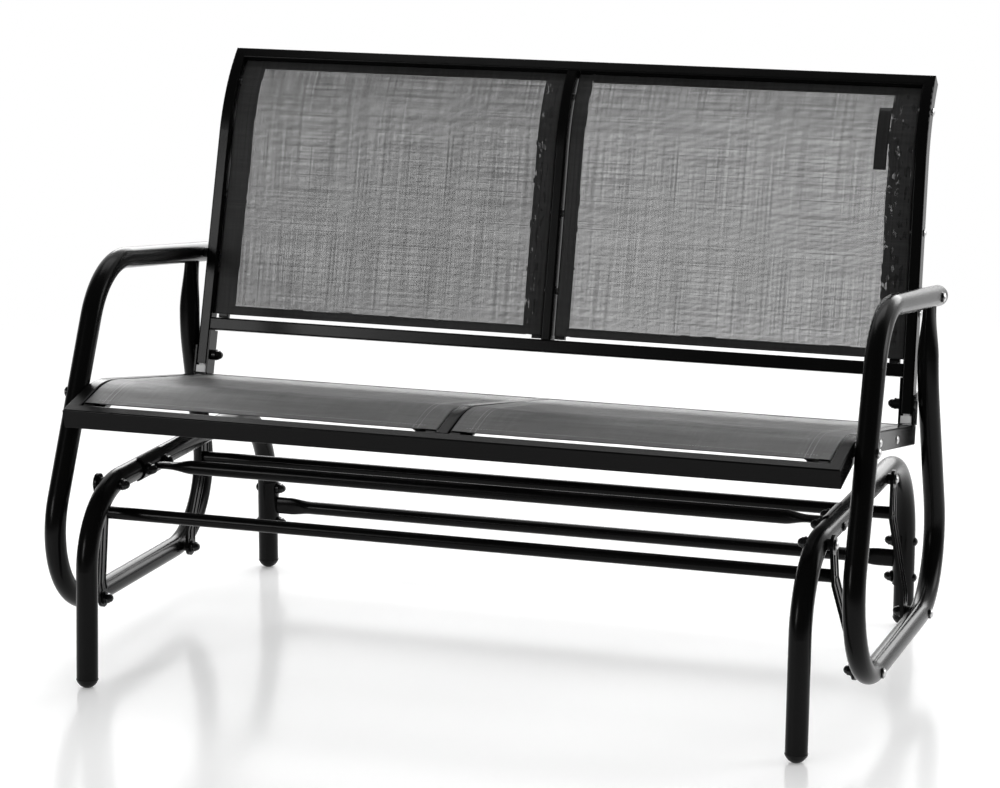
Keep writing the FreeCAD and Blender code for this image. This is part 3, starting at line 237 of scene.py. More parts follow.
fade.interpolation_type = "SMOOTHSTEP"
fade.inputs["From Min"].default_value = fade_start
fade.inputs["From Max"].default_value = fade_end
tree.links.new(distance.outputs["Value"], fade.inputs["Value"])
clear = tree.nodes.new("ShaderNodeBsdfTransparent")
floor_mix = tree.nodes.new("ShaderNodeMixShader")
tree.links.new(fade.outputs["Result"], floor_mix.inputs["Fac"])
tree.links.new(glazed.outputs[0], floor_mix.inputs[1])
tree.links.new(clear.outputs["BSDF"], floor_mix.inputs[2])
tree.links.new(floor_mix.outputs[0], tree.nodes["Material Output"].inputs["Surface"])
floor_mesh.materials.append(floor_paint)

# %% [markdown]
# ## Building materials from small graphs
#
# A node graph is easier to read as a list of short steps. This small class adds nodes to one tree and
# returns their output sockets, so that a formula in code looks like a formula.


# %% Graph helper
class Graph:
    """Adds shader nodes to a tree and joins them."""

    def __init__(self, tree):
        self.tree = tree

    def add(self, kind, **settings):
        node = self.tree.nodes.new(kind)
        for name, value in settings.items():
            setattr(node, name, value)
        return node

    def feed(self, socket, value):
        """Links a socket, or sets a plain value."""
        if isinstance(value, bpy.types.NodeSocket):
            self.tree.links.new(value, socket)
        else:
            socket.default_value = value

    def math(self, operation, first, second=0.0, third=None, clamp=False):
        node = self.add("ShaderNodeMath", operation=operation, use_clamp=clamp)
        self.feed(node.inputs[0], first)
        self.feed(node.inputs[1], second)
        if third is not None:
            self.feed(node.inputs[2], third)
        return node.outputs[0]

    def combine(self, x, y, z=0.0):
        node = self.add("ShaderNodeCombineXYZ")
        for socket, value in zip(node.inputs, (x, y, z)):
            self.feed(socket, value)
        return node.outputs[0]

    def noise(self, vector, scale, detail=2.0, roughness=0.5):
        node = self.add("ShaderNodeTexNoise")
        self.feed(node.inputs["Vector"], vector)
        node.inputs["Scale"].default_value = scale
        node.inputs["Detail"].default_value = detail
        node.inputs["Roughness"].default_value = roughness
        return node.outputs["Fac"]

    def spread(self, value, low, high):
        """Maps a value from 0..1 to low..high."""
        node = self.add("ShaderNodeMapRange")
        self.feed(node.inputs["Value"], value)
        self.feed(node.inputs["To Min"], low)
        self.feed(node.inputs["To Max"], high)
        return node.outputs["Result"]

    def mix(self, factor, first, second):
        node = self.add("ShaderNodeMix", data_type="RGBA")
        self.feed(node.inputs["Factor"], factor)
        self.feed(node.inputs["A"], first)
        self.feed(node.inputs["B"], second)
        return node.outputs["Result"]


def new_group(name, inputs, outputs):
    """An empty shader group with named float sockets, and its graph, input and output nodes."""
    group = bpy.data.node_groups.new(name, "ShaderNodeTree")
    for label, value in inputs.items():
        socket = group.interface.new_socket(label, in_out="INPUT", socket_type="NodeSocketFloat")
        socket.default_value = value
    for label in outputs:
        group.interface.new_socket(label, in_out="OUTPUT", socket_type="NodeSocketFloat")
    return group, Graph(group), group.nodes.new("NodeGroupInput"), group.nodes.new("NodeGroupOutput")


def grey(level):
    """A neutral colour."""
    return (level, level, level, 1.0)


# %% [markdown]
# ## Surface grain
#
# Powder coat, moulded plastic and plated steel differ mostly in the size and depth of their grain. One
# group makes all of them: a slow cloudiness that shifts the tone, and a fine texture that the light
# catches. Its coordinates are the piece's own, in metres, so a grain of 1.1 mm is really 1.1 mm.

# %% Grain group
grain, g, given, wanted = new_group(
    "surface_grain",
    {"Grain Size": 0.0012, "Cloud Size": 0.06},
    ["Height", "Cloud", "Speck"],
)
own_place = g.add("ShaderNodeTexCoord").outputs["Object"]


def sized_noise(graph, vector, size, detail):
    """Noise whose lumps are about one size across."""
    node = graph.add("ShaderNodeTexNoise")
    graph.feed(node.inputs["Vector"], vector)
    graph.feed(node.inputs["Scale"], graph.math("DIVIDE", 1.0, size))
    node.inputs["Detail"].default_value = detail
    return node.outputs["Fac"]


fine = sized_noise(g, own_place, given.outputs["Grain Size"], 2.0)
cloud = sized_noise(g, own_place, given.outputs["Cloud Size"], 3.0)
speck_size = g.math("MULTIPLY", given.outputs["Grain Size"], 2.5)
speck = g.math("POWER", sized_noise(g, own_place, speck_size, 1.0), 4.0)
g.feed(wanted.inputs["Height"], fine)
g.feed(wanted.inputs["Cloud"], cloud)
g.feed(wanted.inputs["Speck"], speck)
print("grain group:", len(grain.nodes), "nodes")

# %% [markdown]
# Each hard finish is the same few lines with its own numbers: how dark it is, how rough, and how deep
# its grain. The Principled shader stays in the material, and only the things that vary come from the group.


# %% Hard finishes
speck_dulling = 0.06
cloud_dulling = 0.06
grain_strength = 0.6


def hard_finish(name, tone, roughness, grain_size, depth, specular=0.5, metallic=0.0, spread=0.12):
    """A coated, moulded or plated surface with its own grain."""
    made = bpy.data.materials.new(name)
    made.use_nodes = True
    graph = Graph(made.node_tree)
    surface = made.node_tree.nodes["Principled BSDF"]
    surface.inputs["Metallic"].default_value = metallic
    surface.inputs["Specular IOR Level"].default_value = specular
    texture = graph.add("ShaderNodeGroup", node_tree=grain)
    texture.inputs["Grain Size"].default_value = grain_size
    cloud = texture.outputs["Cloud"]
    shade = graph.mix(cloud, grey(tone * (1 - spread)), grey(tone * (1 + spread)))
    graph.feed(surface.inputs["Base Color"], shade)
    dull = graph.math("MULTIPLY_ADD", texture.outputs["Speck"], speck_dulling, roughness)
    graph.feed(surface.inputs["Roughness"], graph.math("MULTIPLY_ADD", cloud, cloud_dulling, dull))
    bump = graph.add("ShaderNodeBump")
    bump.inputs["Strength"].default_value = grain_strength
    bump.inputs["Distance"].default_value = depth
    graph.feed(bump.inputs["Height"], texture.outputs["Height"])
    graph.feed(surface.inputs["Normal"], bump.outputs["Normal"])
    return made


finishes = {
    "black_coat": hard_finish("satin_black_coat", 0.0025, 0.19, 0.0011, 0.00001, specular=0.13),
    "black_plastic": hard_finish("black_plastic", 0.0035, 0.32, 0.0007, 0.00002, specular=0.16),
    "bar_plug_plastic": hard_finish("bar_plug_plastic", 0.005, 0.40, 0.0007, 0.00002, specular=0.20),
    "pale_plastic": hard_finish("pale_plastic", 0.70, 0.35, 0.0006, 0.00003, spread=0.04),
    "bearing_plastic": hard_finish("bearing_plastic", 0.004, 0.32, 0.0005, 0.00002, specular=0.20),
    "black_nuts": hard_finish("black_plated_nuts", 0.004, 0.22, 0.0008, 0.00003, specular=0.35),
    "zinc": hard_finish("zinc_plate", 0.60, 0.28, 0.0009, 0.00003, metallic=1.0),
}

# %% [markdown]
# The record says which finish each node has. A node keeps its mesh, and only its material changes. The
# slings and the tab are left out here, because cloth pieces take their places.

# %% Finish the steel
soft_slots = ("seat_mesh", "back_mesh", "tab_cloth")
finished = 0
for part in frame["record"]["subparts"]:
    if part["material_slot"] in soft_slots:
        continue
    mesh = nodes[part["node"]].data
    mesh.materials.clear()
    mesh.materials.append(finishes[part["material_slot"]])
    finished += 1
print("finished nodes:", finished)

# %% [markdown]
# ## The woven mesh
#
# Sling cloth is an open weave of coated yarn: flat warp and weft with small square holes, which let the
# white room show through as grey. A picture of a weave would blur when the camera comes near, so a formula
# draws it. A thread's number picks its thickness, and a slow and a quick noise along it make the thick and
# thin places that show as fine streaks. Every other hole is a little larger. Where a warp thread crosses over
# a weft thread it stands higher.

# %% Weave group
warp_pitch = 0.0015
weft_pitch = 0.0018
thread_step = 7.31
slow_per_metre = 6.0
quick_per_metre = 55.0
quick_weight = 0.15

weave, g, given, wanted = new_group(
    "open_weave",
    {"Warp Pitch": warp_pitch, "Weft Pitch": weft_pitch, "Yarn Share": 0.5, "Slub": 0.3, "Hole Change": 0.1},
    ["Cover", "Height", "Tone"],
)
cloth_uv = g.add("ShaderNodeUVMap", uv_map="cloth").outputs["UV"]
parts = g.add("ShaderNodeSeparateXYZ")
g.feed(parts.inputs[0], cloth_uv)
warp_count = g.math("DIVIDE", parts.outputs[0], given.outputs["Warp Pitch"])
weft_count = g.math("DIVIDE", parts.outputs[1], given.outputs["Weft Pitch"])


def parity(first, second):
    """Zero or one by turns, like a chessboard, from two whole numbers."""
    return g.math("MODULO", g.math("ABSOLUTE", g.math("ADD", first, second)), 2.0)


hole_parity = parity(g.math("ROUND", warp_count), g.math("ROUND", weft_count))
hole_change = g.math("MULTIPLY", g.math("MULTIPLY_ADD", hole_parity, 2.0, -1.0), given.outputs["Hole Change"])


def thread_family(counted, along, seed):
    """One set of parallel threads: a cover mask, a rounded section, the thread's number and its thickness."""
    number = g.math("FLOOR", counted)
    offset = g.math("ABSOLUTE", g.math("SUBTRACT", g.math("FRACT", counted), 0.5))
    own = g.math("MULTIPLY", number, thread_step)
    slow = g.noise(g.combine(own, g.math("MULTIPLY", along, slow_per_metre), seed), 1.0, 0.0)
    quick = g.noise(g.combine(own, g.math("MULTIPLY", along, quick_per_metre), seed + 5.0), 1.0, 1.0)
    uneven = g.math("MULTIPLY_ADD", quick, quick_weight, g.math("MULTIPLY", slow, 1.0 - quick_weight))
    swell = g.math("MULTIPLY", g.math("SUBTRACT", uneven, 0.5), given.outputs["Slub"])
    half = g.math("ADD", g.math("ADD", swell, swell), g.math("ADD", hole_change, 1.0))
    half = g.math("MULTIPLY", g.math("MULTIPLY", half, given.outputs["Yarn Share"]), 0.5)
    cover = g.math("LESS_THAN", offset, half)
    ratio = g.math("DIVIDE", offset, half)
    crown = g.math("SQRT", g.math("SUBTRACT", 1.0, g.math("MULTIPLY", ratio, ratio), clamp=True))
    return cover, crown, number, uneven


warp_cover, warp_crown, warp_number, warp_swell = thread_family(warp_count, parts.outputs[1], 3.0)
weft_cover, weft_crown, weft_number, weft_swell = thread_family(weft_count, parts.outputs[0], 17.0)

# %% [markdown]
# The two families join with a checkerboard of their numbers: on even squares the warp is on top and on odd
# squares the weft.

# %% Over and under
swell_tone = 1.4
# Squares where the warp lies on top are painted lighter than those where the weft does, a painted shade of
# how the light falls on the crossing threads.
over_under_painted_shade = 0.3

upper = parity(warp_number, weft_number)
warp_up = g.math("MULTIPLY", warp_cover, g.math("MULTIPLY_ADD", upper, 0.5, 0.5))
weft_up = g.math("MULTIPLY", weft_cover, g.math("MULTIPLY_ADD", upper, -0.5, 1.0))
warp_height = g.math("MULTIPLY", warp_up, warp_crown)
weft_height = g.math("MULTIPLY", weft_up, weft_crown)
g.feed(wanted.inputs["Height"], g.math("MAXIMUM", warp_height, weft_height))
g.feed(wanted.inputs["Cover"], g.math("MAXIMUM", warp_cover, weft_cover))
swell_sum = g.math("SUBTRACT", g.math("ADD", warp_swell, weft_swell), 1.0)
tone_swing = g.math("MULTIPLY_ADD", swell_sum, swell_tone, 0.5)
lowered = g.math("SUBTRACT", tone_swing, over_under_painted_shade / 2)
g.feed(wanted.inputs["Tone"], g.math("MULTIPLY_ADD", upper, over_under_painted_shade, lowered))
print("weave group:", len(weave.nodes), "nodes")

# %% [markdown]
# A hem has two layers that hardly let light through, apart from a few spots where the holes of both meet.
# The second coordinate set says how far a point is from the cloth's side and from its end. The hem's limit
# follows whole threads, which gives it the small steps of a cut along a weave. The spots show only in the
# hem at each sling's +X side: a place across the bench, counted in slings, tells the two side hems apart.

# %% Hem group
wander_per_metre = 22.0
wander_reach = 0.006
spot_stretch = (150.0, 20.0, 70.0)
spot_level = 0.57
sling_offset = 0.02
sling_spacing = 0.57

hems, g, given, wanted = new_group(
    "hem_zone",
    {"Side Width": 0.031, "End Width": 0.012, "Warp Pitch": warp_pitch, "Weft Pitch": weft_pitch},
    ["Hem", "Spot"],
)
border = g.add("ShaderNodeSeparateXYZ")
g.feed(border.inputs[0], g.add("ShaderNodeUVMap", uv_map="border").outputs["UV"])
whole_side = g.math("SNAP", border.outputs[0], given.outputs["Warp Pitch"])
whole_end = g.math("SNAP", border.outputs[1], given.outputs["Weft Pitch"])
object_place = g.add("ShaderNodeTexCoord").outputs["Object"]
unsteady = g.math("SUBTRACT", g.noise(object_place, wander_per_metre, 3.0), 0.5)
wander = g.math("MULTIPLY", unsteady, wander_reach)
by_side = g.math("LESS_THAN", g.math("ADD", whole_side, wander), given.outputs["Side Width"])
by_end = g.math("LESS_THAN", g.math("ADD", whole_end, wander), given.outputs["End Width"])
g.feed(wanted.inputs["Hem"], g.math("MAXIMUM", by_side, by_end))
stretched = g.add("ShaderNodeMapping")
g.feed(stretched.inputs["Vector"], object_place)
stretched.inputs["Scale"].default_value = spot_stretch
blobs = g.noise(stretched.outputs[0], 1.0, 1.0)
spots = g.math("GREATER_THAN", blobs, spot_level)
across = g.add("ShaderNodeSeparateXYZ")
g.feed(across.inputs[0], object_place)
slings_across = g.math("DIVIDE", g.math("ADD", across.outputs[0], sling_offset), sling_spacing)
right_half = g.math("GREATER_THAN", g.math("FRACT", slings_across), 0.5)
right_hem = g.math("MULTIPLY", right_half, g.math("SUBTRACT", by_side, by_end, clamp=True))
g.feed(wanted.inputs["Spot"], g.math("MULTIPLY", spots, right_hem))
print("hem group:", len(hems.nodes), "nodes")

# %% [markdown]
# A cloth finish puts the weave's cover on Alpha, so that the holes are really open, and its height on a
# bump. The seat and the backs use the same weave with their own yarn thickness. The seat also has rows of
# more and less polish, which shimmer where its front edge bends down.


# %% Cloth finishes
weave_relief = 0.0003
relief_strength = 0.8
polish_rows = (14.0, 110.0, 40.0)


def mesh_cloth(name, tone, share, slub, hole_change, roughness=0.42, specular=0.5, streaks=0.0):
    """An open coated weave that light passes through."""
    made = bpy.data.materials.new(name)
    made.use_nodes = True
    graph = Graph(made.node_tree)
    surface = made.node_tree.nodes["Principled BSDF"]
    surface.inputs["Specular IOR Level"].default_value = specular
    rows = graph.add("ShaderNodeMapping")
    graph.feed(rows.inputs["Vector"], graph.add("ShaderNodeTexCoord").outputs["Object"])
    rows.inputs["Scale"].default_value = polish_rows
    polish = graph.noise(rows.outputs[0], 1.0, 2.0)
    graph.feed(surface.inputs["Roughness"], graph.spread(polish, roughness - streaks, roughness + streaks))
    threads = graph.add("ShaderNodeGroup", node_tree=weave)
    threads.inputs["Yarn Share"].default_value = share
    threads.inputs["Slub"].default_value = slub
    threads.inputs["Hole Change"].default_value = hole_change
    zone = graph.add("ShaderNodeGroup", node_tree=hems)
    shade = graph.mix(threads.outputs["Tone"], grey(tone * 0.55), grey(tone * 1.45))
    # The hems' yarn is painted darker than the open cloth, a painted shade of the two layers and the bar.
    hem_painted_shade = graph.mix(threads.outputs["Tone"], grey(tone * 0.35), grey(tone))
    graph.feed(surface.inputs["Base Color"], graph.mix(zone.outputs["Hem"], shade, hem_painted_shade))
    shut = graph.math("MULTIPLY", zone.outputs["Hem"], graph.math("SUBTRACT", 1.0, zone.outputs["Spot"]))
    graph.feed(surface.inputs["Alpha"], graph.math("MAXIMUM", threads.outputs["Cover"], shut))
    bump = graph.add("ShaderNodeBump")
    bump.inputs["Strength"].default_value = relief_strength
    bump.inputs["Distance"].default_value = weave_relief
    graph.feed(bump.inputs["Height"], threads.outputs["Height"])
    graph.feed(surface.inputs["Normal"], bump.outputs["Normal"])
    return made


back_cloth_left = mesh_cloth("back_mesh_cloth_left", 0.030, 0.468, 0.66, 0.05)
back_cloth_right = mesh_cloth("back_mesh_cloth_right", 0.030, 0.425, 0.66, 0.05)
# The seat's yarn is painted more than twice as light as the backs' yarn, a painted sheen.
seat_cloth_painted_sheen = mesh_cloth("seat_mesh_cloth_painted_sheen", 0.070, 0.60, 0.50, 0.24, roughness=0.36, specular=0.6,
                        streaks=0.14)

# %% [markdown]
# ## Reading a sling's shape off the frame
#
# Each sling has a stand-in plate in the frame, in exactly the right place. A ball tree finds where a ray
# meets that plate. Walking along its face in small steps gives the sling's side profile, and rays from the
# two sides give its edges, which lean in towards the top of the back.


# %% Walk along a plate
def plate_tree(name):
    """A search tree of a node's faces."""
    mesh = nodes[name].data
    return BVHTree.FromPolygons([v.co for v in mesh.vertices], [p.vertices for p in mesh.polygons])


def walk(tree, start, heading, facing, step):
    """Points along a plate's outer face from a start point, in equal steps, up to the plate's end."""
    points = [start]
    probe = 0.004
    while True:
        ahead = points[-1] + heading * step
        hit = tree.ray_cast(ahead + facing * probe, -facing, 3 * probe)[0]
        if hit is None:
            if step < 0.0002:
                return points
            step = step / 2
            continue
        heading = (hit - points[-1]).normalized()
        side = Vector((1.0, 0.0, 0.0))
        turned = side.cross(heading)
        facing = turned if turned.dot(facing) > 0 else -turned
        points.append(hit)


def face_profile(name, start_ray, direction, facing, heading, step=0.006):
    """A plate's face profile from one end to the other, as points with their outward normals."""
    tree = plate_tree(name)
    start = tree.ray_cast(start_ray, direction)[0]
    forward = walk(tree, start, heading, facing, step)
    backward = walk(tree, start, -heading, facing, step)
    points = list(reversed(backward[1:])) + forward
    rows = []
    for i, point in enumerate(points):
        before = points[max(i - 1, 0)]
        after = points[min(i + 1, len(points) - 1)]
        normal = Vector((1.0, 0.0, 0.0)).cross(after - before).normalized()
        if normal.dot(facing) < 0:
            normal = -normal
        inside = point - normal * 0.001
        outer = tree.ray_cast(Vector((1.0, inside.y, inside.z)), Vector((-1.0, 0.0, 0.0)))[0]
        inner = tree.ray_cast(Vector((0.0, inside.y, inside.z)), Vector((1.0, 0.0, 0.0)))[0]
        if outer is not None and inner is not None:
            rows.append((point, normal, inner.x, outer.x))
    return rows


up = Vector((0.0, 0.0, 1.0))
front = Vector((0.0, -1.0, 0.0))
seat_rows = face_profile("seat_sling_right", Vector((0.3, -0.05, 1.0)), -up, up, -front)
back_rows = face_profile("back_sling_right", Vector((0.3, -1.0, 0.65)), -front, front, up)
print("seat rows", len(seat_rows), "back rows", len(back_rows))

# %% [markdown]
# ## A sling
#
# A real sling is one rectangle of cloth. Its two side edges are folded round flat bars and sewn down, and
# its two short ends have a narrow hem. The script lays the cloth along that real path, so in the hems two
# layers and a bar stop the light; the hems' colour is also painted darker, a painted shade.
#
# The path across the sling is a list of points, each with its place across and its depth behind the face.
# It starts at the hidden end of one hem, goes round the bar, over the front and round the other bar. The
# back slings hang a little loose outside their outer bars.

# %% Cloth path
bar_width = 0.016
bar_depths = {"seat": 0.0268, "back": 0.0128}
cloth_depth = 0.0010
layer_gap = 0.0009
bar_clearance = 0.001
wrap_room = 0.0006
wrap_radius = 0.0026
hem_width = 0.031
hem_tail = 0.003
cloth_gauge = 0.0005
back_slack = 0.0062
hem_widths = {
    ("seat", "right"): (0.037, 0.037),
    ("seat", "left"): (0.037, 0.037),
    ("back", "right"): (0.020, 0.037),
    ("back", "left"): (0.0272, 0.031),
}


def hem_path(edge, inward, bar_back, hem_width, slack):
    """The hem round one bar: (x, depth) points from its hidden end to where the front face starts."""
    outer = edge - inward * (wrap_room + slack)
    tail_depth = cloth_depth + layer_gap
    points = []
    tail_steps = 3
    for i in range(tail_steps):
        share = i / (tail_steps - 1)
        tail = hem_width - slack + hem_tail * (1 - share)
        points.append((edge + inward * tail, tail_depth))
    slope_steps = 5
    for i in range(1, slope_steps):
        share = i / slope_steps
        eased = share * share * (3 - 2 * share)
        across = hem_width - slack + (bar_width + bar_clearance - hem_width + slack) * share
        points.append((edge + inward * across, tail_depth + (bar_back - tail_depth) * eased))
    points.append((edge + inward * bar_width, bar_back))
    points.append((edge + inward * bar_width / 2, bar_back))
    corner_steps = 4
    for i in range(corner_steps + 1):
        angle = math.pi / 2 * i / corner_steps
        x = outer + inward * wrap_radius * (1 - math.sin(angle))
        points.append((x, bar_back - wrap_radius * (1 - math.cos(angle))))
    for i in range(corner_steps + 1):
        angle = math.pi / 2 * i / corner_steps
        x = outer + inward * wrap_radius * (1 - math.cos(angle))
        points.append((x, cloth_depth + wrap_radius * (1 - math.sin(angle))))
    return points


def cloth_path(inner, outer, bar_back, widths, slack, columns):
    """The whole path across a sling between its two edges."""
    first = hem_path(inner, 1.0, bar_back, widths[0], 0.0)
    last = hem_path(outer, -1.0, bar_back, widths[1], slack)
    start = first[-1][0]
    end = last[-1][0]
    middle = [(start + (end - start) * i / columns, cloth_depth) for i in range(1, columns)]
    return first + middle + list(reversed(last)), len(first) - 1, len(first) + len(middle)


columns_across = 24
sample = cloth_path(seat_rows[0][2], seat_rows[0][3], bar_depths["seat"], hem_widths[("seat", "right")], 0.0,
                    columns_across)[0]
print("points across a sling:", len(sample))

# %% [markdown]
# The surface is a grid: the path across, repeated along the profile. The cloth coordinates are written as
# it is built, in metres of cloth, so the weave keeps its pitch round every fold. In the hidden return
# the cloth sits a little crooked, as sewn hems do. Seen through each other, the two layers then make the
# blotchy light spots of a real mesh hem.

# %% Build one sling
end_hem = 0.013
top_hem_trim = 0.0015
hem_fold = 0.0010
wave_size = 0.05
wave_depth = 0.0004
pucker_size = 0.012
pucker_depth = 0.00012
return_stretch = 1.035
return_size = 0.03
return_drift = 0.0016
slack_change = 0.35
slack_per_metre = 18


def ripple(point, size, depth):
    """A smooth random offset, the same at every run."""
    return noise.noise(Vector(point) / size) * depth


def sling_surface(name, rows, bar_back, widths, slack, mirror):
    """A sling's cloth as one mesh, with its coordinates."""
    paths = []
    for base, _, inner, outer in rows:
        loose = slack * (1 + slack_change * noise.noise(base * slack_per_metre))
        paths.append(cloth_path(inner, outer, bar_back, widths, loose, columns_across))
    start, end = paths[0][1], paths[0][2]
    lengths = [0.0]
    for a, b in zip(rows[:-1], rows[1:]):
        lengths.append(lengths[-1] + (b[0] - a[0]).length)
    bm = bmesh.new()
    uv_places = {}
    border_places = {}
    grid = []

    def add_point(base, normal, x, depth, u, v, to_side, to_end):
        wave = ripple((x, base.y, base.z), wave_size, wave_depth)
        pucker = ripple((x + 7, base.y, base.z), pucker_size, pucker_depth)
        spot = base - normal * (depth + (wave + pucker))
        vertex = bm.verts.new((-x if mirror else x, spot.y, spot.z))
        uv_places[vertex] = (u, v)
        border_places[vertex] = (to_side, to_end)
        return vertex

    for row, (base, normal, inner, outer) in enumerate(rows):
        line = paths[row][0]
        run = [0.0]
        for a, b in zip(line[:-1], line[1:]):
            run.append(run[-1] + math.hypot(b[0] - a[0], b[1] - a[1]))
        shift = line[start][0] - run[start]
        vertices = []
        for i, (x, depth) in enumerate(line):
            u = run[i] + shift
            v = lengths[row]
            if i < start or i > end:
                u += ripple((u * 3, v, 1.0), return_size, return_drift)
                v = v * return_stretch + ripple((u, v * 3, 5.0), return_size, return_drift)
            from_inner = run[i] - run[start] + hem_width - widths[0]
            from_outer = run[end] - run[i] + hem_width - widths[1]
            to_side = min(from_inner, from_outer)
            to_end = min(lengths[row], lengths[-1] - lengths[row] + top_hem_trim)
            vertices.append(add_point(base, normal, x, depth, u, v, to_side, to_end))
        grid.append(vertices)
    for below, above in zip(grid[:-1], grid[1:]):
        for i in range(len(below) - 1):
            bm.faces.new((below[i], below[i + 1], above[i + 1], above[i]))

    for row, outward in ((0, -1.0), (len(rows) - 1, 1.0)):
        base, normal, inner, outer = rows[row]
        neighbour = rows[1] if row == 0 else rows[-2]
        along = (base - neighbour[0]).normalized()
        line = paths[row][0]
        clear_of_bar = bar_width + 0.002
        kept = [i for i in range(start, end + 1)
                if inner + clear_of_bar < line[i][0] < outer - clear_of_bar]
        fold = [
            (0.0005, hem_fold * 0.3),
            (0.0005, hem_fold * 0.8),
            (-0.002, hem_fold),
            (-end_hem / 2, hem_fold),
            (-end_hem, hem_fold),
        ]
        previous = [grid[row][i] for i in kept]
        reach = 0.0
        for beyond, drop in fold:
            reach += 0.001 if beyond > 0 else end_hem / 3
            current = []
            for i in kept:
                x, depth = line[i]
                v = lengths[row] + outward * reach
                fold_base = base + along * beyond
                current.append(add_point(fold_base, normal, x, depth + drop, x, v, bar_width, 0.0))
            for k in range(len(kept) - 1):
                bm.faces.new((previous[k], previous[k + 1], current[k + 1], current[k]))
            previous = current

    layer = bm.loops.layers.uv.new("cloth")
    border_layer = bm.loops.layers.uv.new("border")
    for face in bm.faces:
        face.smooth = True
        for loop in face.loops:
            loop[layer].uv = uv_places[loop.vert]
            loop[border_layer].uv = border_places[loop.vert]
    bmesh.ops.recalc_face_normals(bm, faces=bm.faces)
    mesh = bpy.data.meshes.new(name)
    bm.to_mesh(mesh)
    bm.free()
    piece = bpy.data.objects.new(name, mesh)
    bpy.context.scene.collection.objects.link(piece)
    first_line = paths[0][0]
    width = sum(math.hypot(b[0] - a[0], b[1] - a[1]) for a, b in zip(first_line[:-1], first_line[1:]))
    return piece, width, lengths[-1] + 2 * end_hem


# %% [markdown]
# A solidify modifier gives the cloth its half millimetre. The holes of its two skins line up when it is
# seen from the front and shut as the view slants, as the holes of a real coated weave do.

# %% Dress the four slings
cloth_of = {
    ("seat", "left"): seat_cloth_painted_sheen,
    ("seat", "right"): seat_cloth_painted_sheen,
    ("back", "left"): back_cloth_left,
    ("back", "right"): back_cloth_right,
}
rows_of = {"seat": seat_rows, "back": back_rows}
slings = {}
for place in ("seat", "back"):
    for side in ("right", "left"):
        name = f"{place}_sling_cloth_{side}"
        slack = back_slack if place == "back" else 0.0
        widths = hem_widths[(place, side)]
        piece, width, length = sling_surface(name, rows_of[place], bar_depths[place], widths, slack,
                                             side == "left")
        piece.data.materials.append(cloth_of[(place, side)])
        thick = piece.modifiers.new("thickness", "SOLIDIFY")
        thick.thickness = cloth_gauge
        thick.offset = 0.0
        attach(piece, "glider")
        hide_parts(f"{place}_sling_{side}")
        slings[(place, side)] = (piece, width, length)
        print(name, "cut to", round(width, 3), "by", round(length, 3), "m")

# %% [markdown]
# ## Stitching
#
# Two rows of thread hold each side hem, and one row holds each end hem. The seat is sewn with pale thread
# and the back with dark. Each stitch is its own small bead, longer than it is wide, sunk at both ends.


# %% Thread
def sewing_thread(name, tone):
    """Twisted sewing thread."""
    return hard_finish(name, tone, 0.55, 0.0004, 0.00006, specular=0.3, spread=0.25)


pale_thread = sewing_thread("pale_thread", 0.50)
dark_thread = sewing_thread("dark_thread", 0.012)
stitch_pitch = 0.0042
stitch_length = 0.0033
stitch_radius = 0.00042
seam_places = (0.0010, 0.0085)
bead_profile = ((-0.5, 0.25), (-0.25, 0.9), (0.0, 1.0), (0.25, 0.9), (0.5, 0.25))
bead_sides = 6


def add_stitch(bm, middle, along, normal):
    """One bead of thread that lies along a seam."""
    across = along.cross(normal)
    rings = []
    for share, swell in bead_profile:
        sunk = -stitch_radius * (1.6 * (2 * share) ** 2)
        centre = middle + along * (share * stitch_length) + normal * sunk
        ring = []
        for i in range(bead_sides):
            angle = math.tau * i / bead_sides
            offset = across * math.cos(angle) + normal * (math.sin(angle) * 0.8)
            ring.append(bm.verts.new(centre + offset * (stitch_radius * swell)))
        rings.append(ring)
    for a, b in zip(rings[:-1], rings[1:]):
        for i in range(bead_sides):
            following = (i + 1) % bead_sides
            face = bm.faces.new((a[i], a[following], b[following], b[i]))
            face.smooth = True
    bm.faces.new(list(reversed(rings[0])))
    bm.faces.new(rings[-1])


def seam(bm, points, normals):
    """Stitches at an even pitch along a line of points."""
    travelled = 0.0
    due = stitch_pitch / 2
    for (a, b), normal in zip(zip(points[:-1], points[1:]), normals):
        step = b - a
        while due < travelled + step.length:
            spot = a + step * ((due - travelled) / step.length)
            add_stitch(bm, spot, step.normalized(), normal)
            due += stitch_pitch
        travelled += step.length


def sling_stitching(name, rows, mirror, widths, slack, end_inset, material):
    """All the seams of one sling."""
    bm = bmesh.new()
    lift = stitch_radius * 0.3 + cloth_gauge / 2
    flip = -1.0 if mirror else 1.0
    for from_hem_end in seam_places:
        for edge, width, loose in ((2, widths[0], 0.0), (3, widths[1], slack)):
            inward = 1.0 if edge == 2 else -1.0
            inset = width - from_hem_end - loose
            points = []
            for row in rows[1:-1]:
                base, normal = row[0], row[1]
                spot = base - normal * (cloth_depth - lift)
                points.append(Vector((flip * (row[edge] + inward * inset), spot.y, spot.z)))
            seam(bm, points, [row[1] for row in rows[1:-1]])
    for row, beyond in ((rows[0], rows[1]), (rows[-1], rows[-2])):
        along = (beyond[0] - row[0]).normalized()
        spot = row[0] + along * end_inset - row[1] * (cloth_depth - lift)
        low = row[2] + bar_width + 0.003
        high = row[3] - bar_width - 0.003
        steps = 24
        points = []
        for i in range(steps + 1):
            points.append(Vector((flip * (low + (high - low) * i / steps), spot.y, spot.z)))
        seam(bm, points, [row[1]] * steps)
    mesh = bpy.data.meshes.new(name)
    bm.to_mesh(mesh)
    bm.free()
    mesh.materials.append(material)
    piece = bpy.data.objects.new(name, mesh)
    bpy.context.scene.collection.objects.link(piece)
    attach(piece, "glider")
    return piece


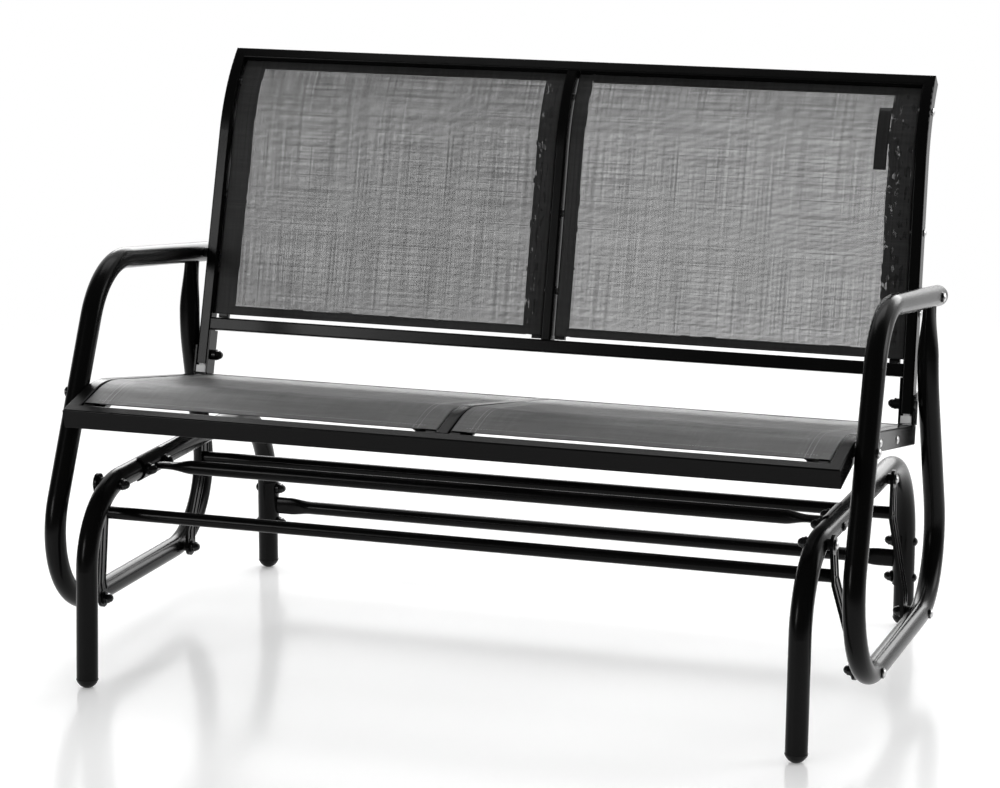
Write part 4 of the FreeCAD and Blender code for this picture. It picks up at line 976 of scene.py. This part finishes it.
# %% Sew the slings
for (place, side), (piece, width, length) in slings.items():
    thread = pale_thread if place == "seat" else dark_thread
    slack = back_slack if place == "back" else 0.0
    stitches = sling_stitching(f"{place}_sling_stitching_{side}", rows_of[place], side == "left",
                               hem_widths[(place, side)], slack, end_hem - 0.002, thread)
    print(stitches.name, len(stitches.data.vertices), "points")

# %% [markdown]
# ## The sewn tab
#
# A plain strip of cloth is sewn near the upper outer corner of one back sling. It is left bare. Its weave
# is close, so hardly any light comes through.

# %% Tab
tab_cloth = mesh_cloth("tab_cloth", 0.018, 0.97, 0.1, 0.0)
tab_low, tab_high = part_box("sling_tab")
tab_name = "sewn_tab"
tab_rows = [row for row in back_rows if tab_low.z - 0.004 < row[0].z < tab_high.z + 0.004]
tab_steps = 6
tab_lift = 0.0008
tab_curl = 0.0006
tab_gauge = 0.0006
bm = bmesh.new()
tab_uv = {}
tab_grid = []
for base, normal, _, _ in tab_rows:
    line = []
    for i in range(tab_steps + 1):
        share = i / tab_steps
        x = tab_low.x + (tab_high.x - tab_low.x) * share
        curl = tab_curl * (2 * share - 1) ** 4
        spot = base - normal * (cloth_depth - tab_lift - curl)
        vertex = bm.verts.new((x, spot.y, spot.z))
        tab_uv[vertex] = (x, base.z)
        line.append(vertex)
    tab_grid.append(line)
for below, above in zip(tab_grid[:-1], tab_grid[1:]):
    for i in range(tab_steps):
        face = bm.faces.new((below[i], below[i + 1], above[i + 1], above[i]))
        face.smooth = True
tab_layer = bm.loops.layers.uv.new("cloth")
for face in bm.faces:
    for loop in face.loops:
        loop[tab_layer].uv = tab_uv[loop.vert]
tab_mesh = bpy.data.meshes.new(tab_name)
bm.to_mesh(tab_mesh)
bm.free()
tab_mesh.materials.append(tab_cloth)
tab = bpy.data.objects.new(tab_name, tab_mesh)
bpy.context.scene.collection.objects.link(tab)
tab_thickness = tab.modifiers.new("thickness", "SOLIDIFY")
tab_thickness.thickness = tab_gauge
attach(tab, "glider")
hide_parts("sling_tab")
print("tab", round(tab_high.x - tab_low.x, 4), "m wide")
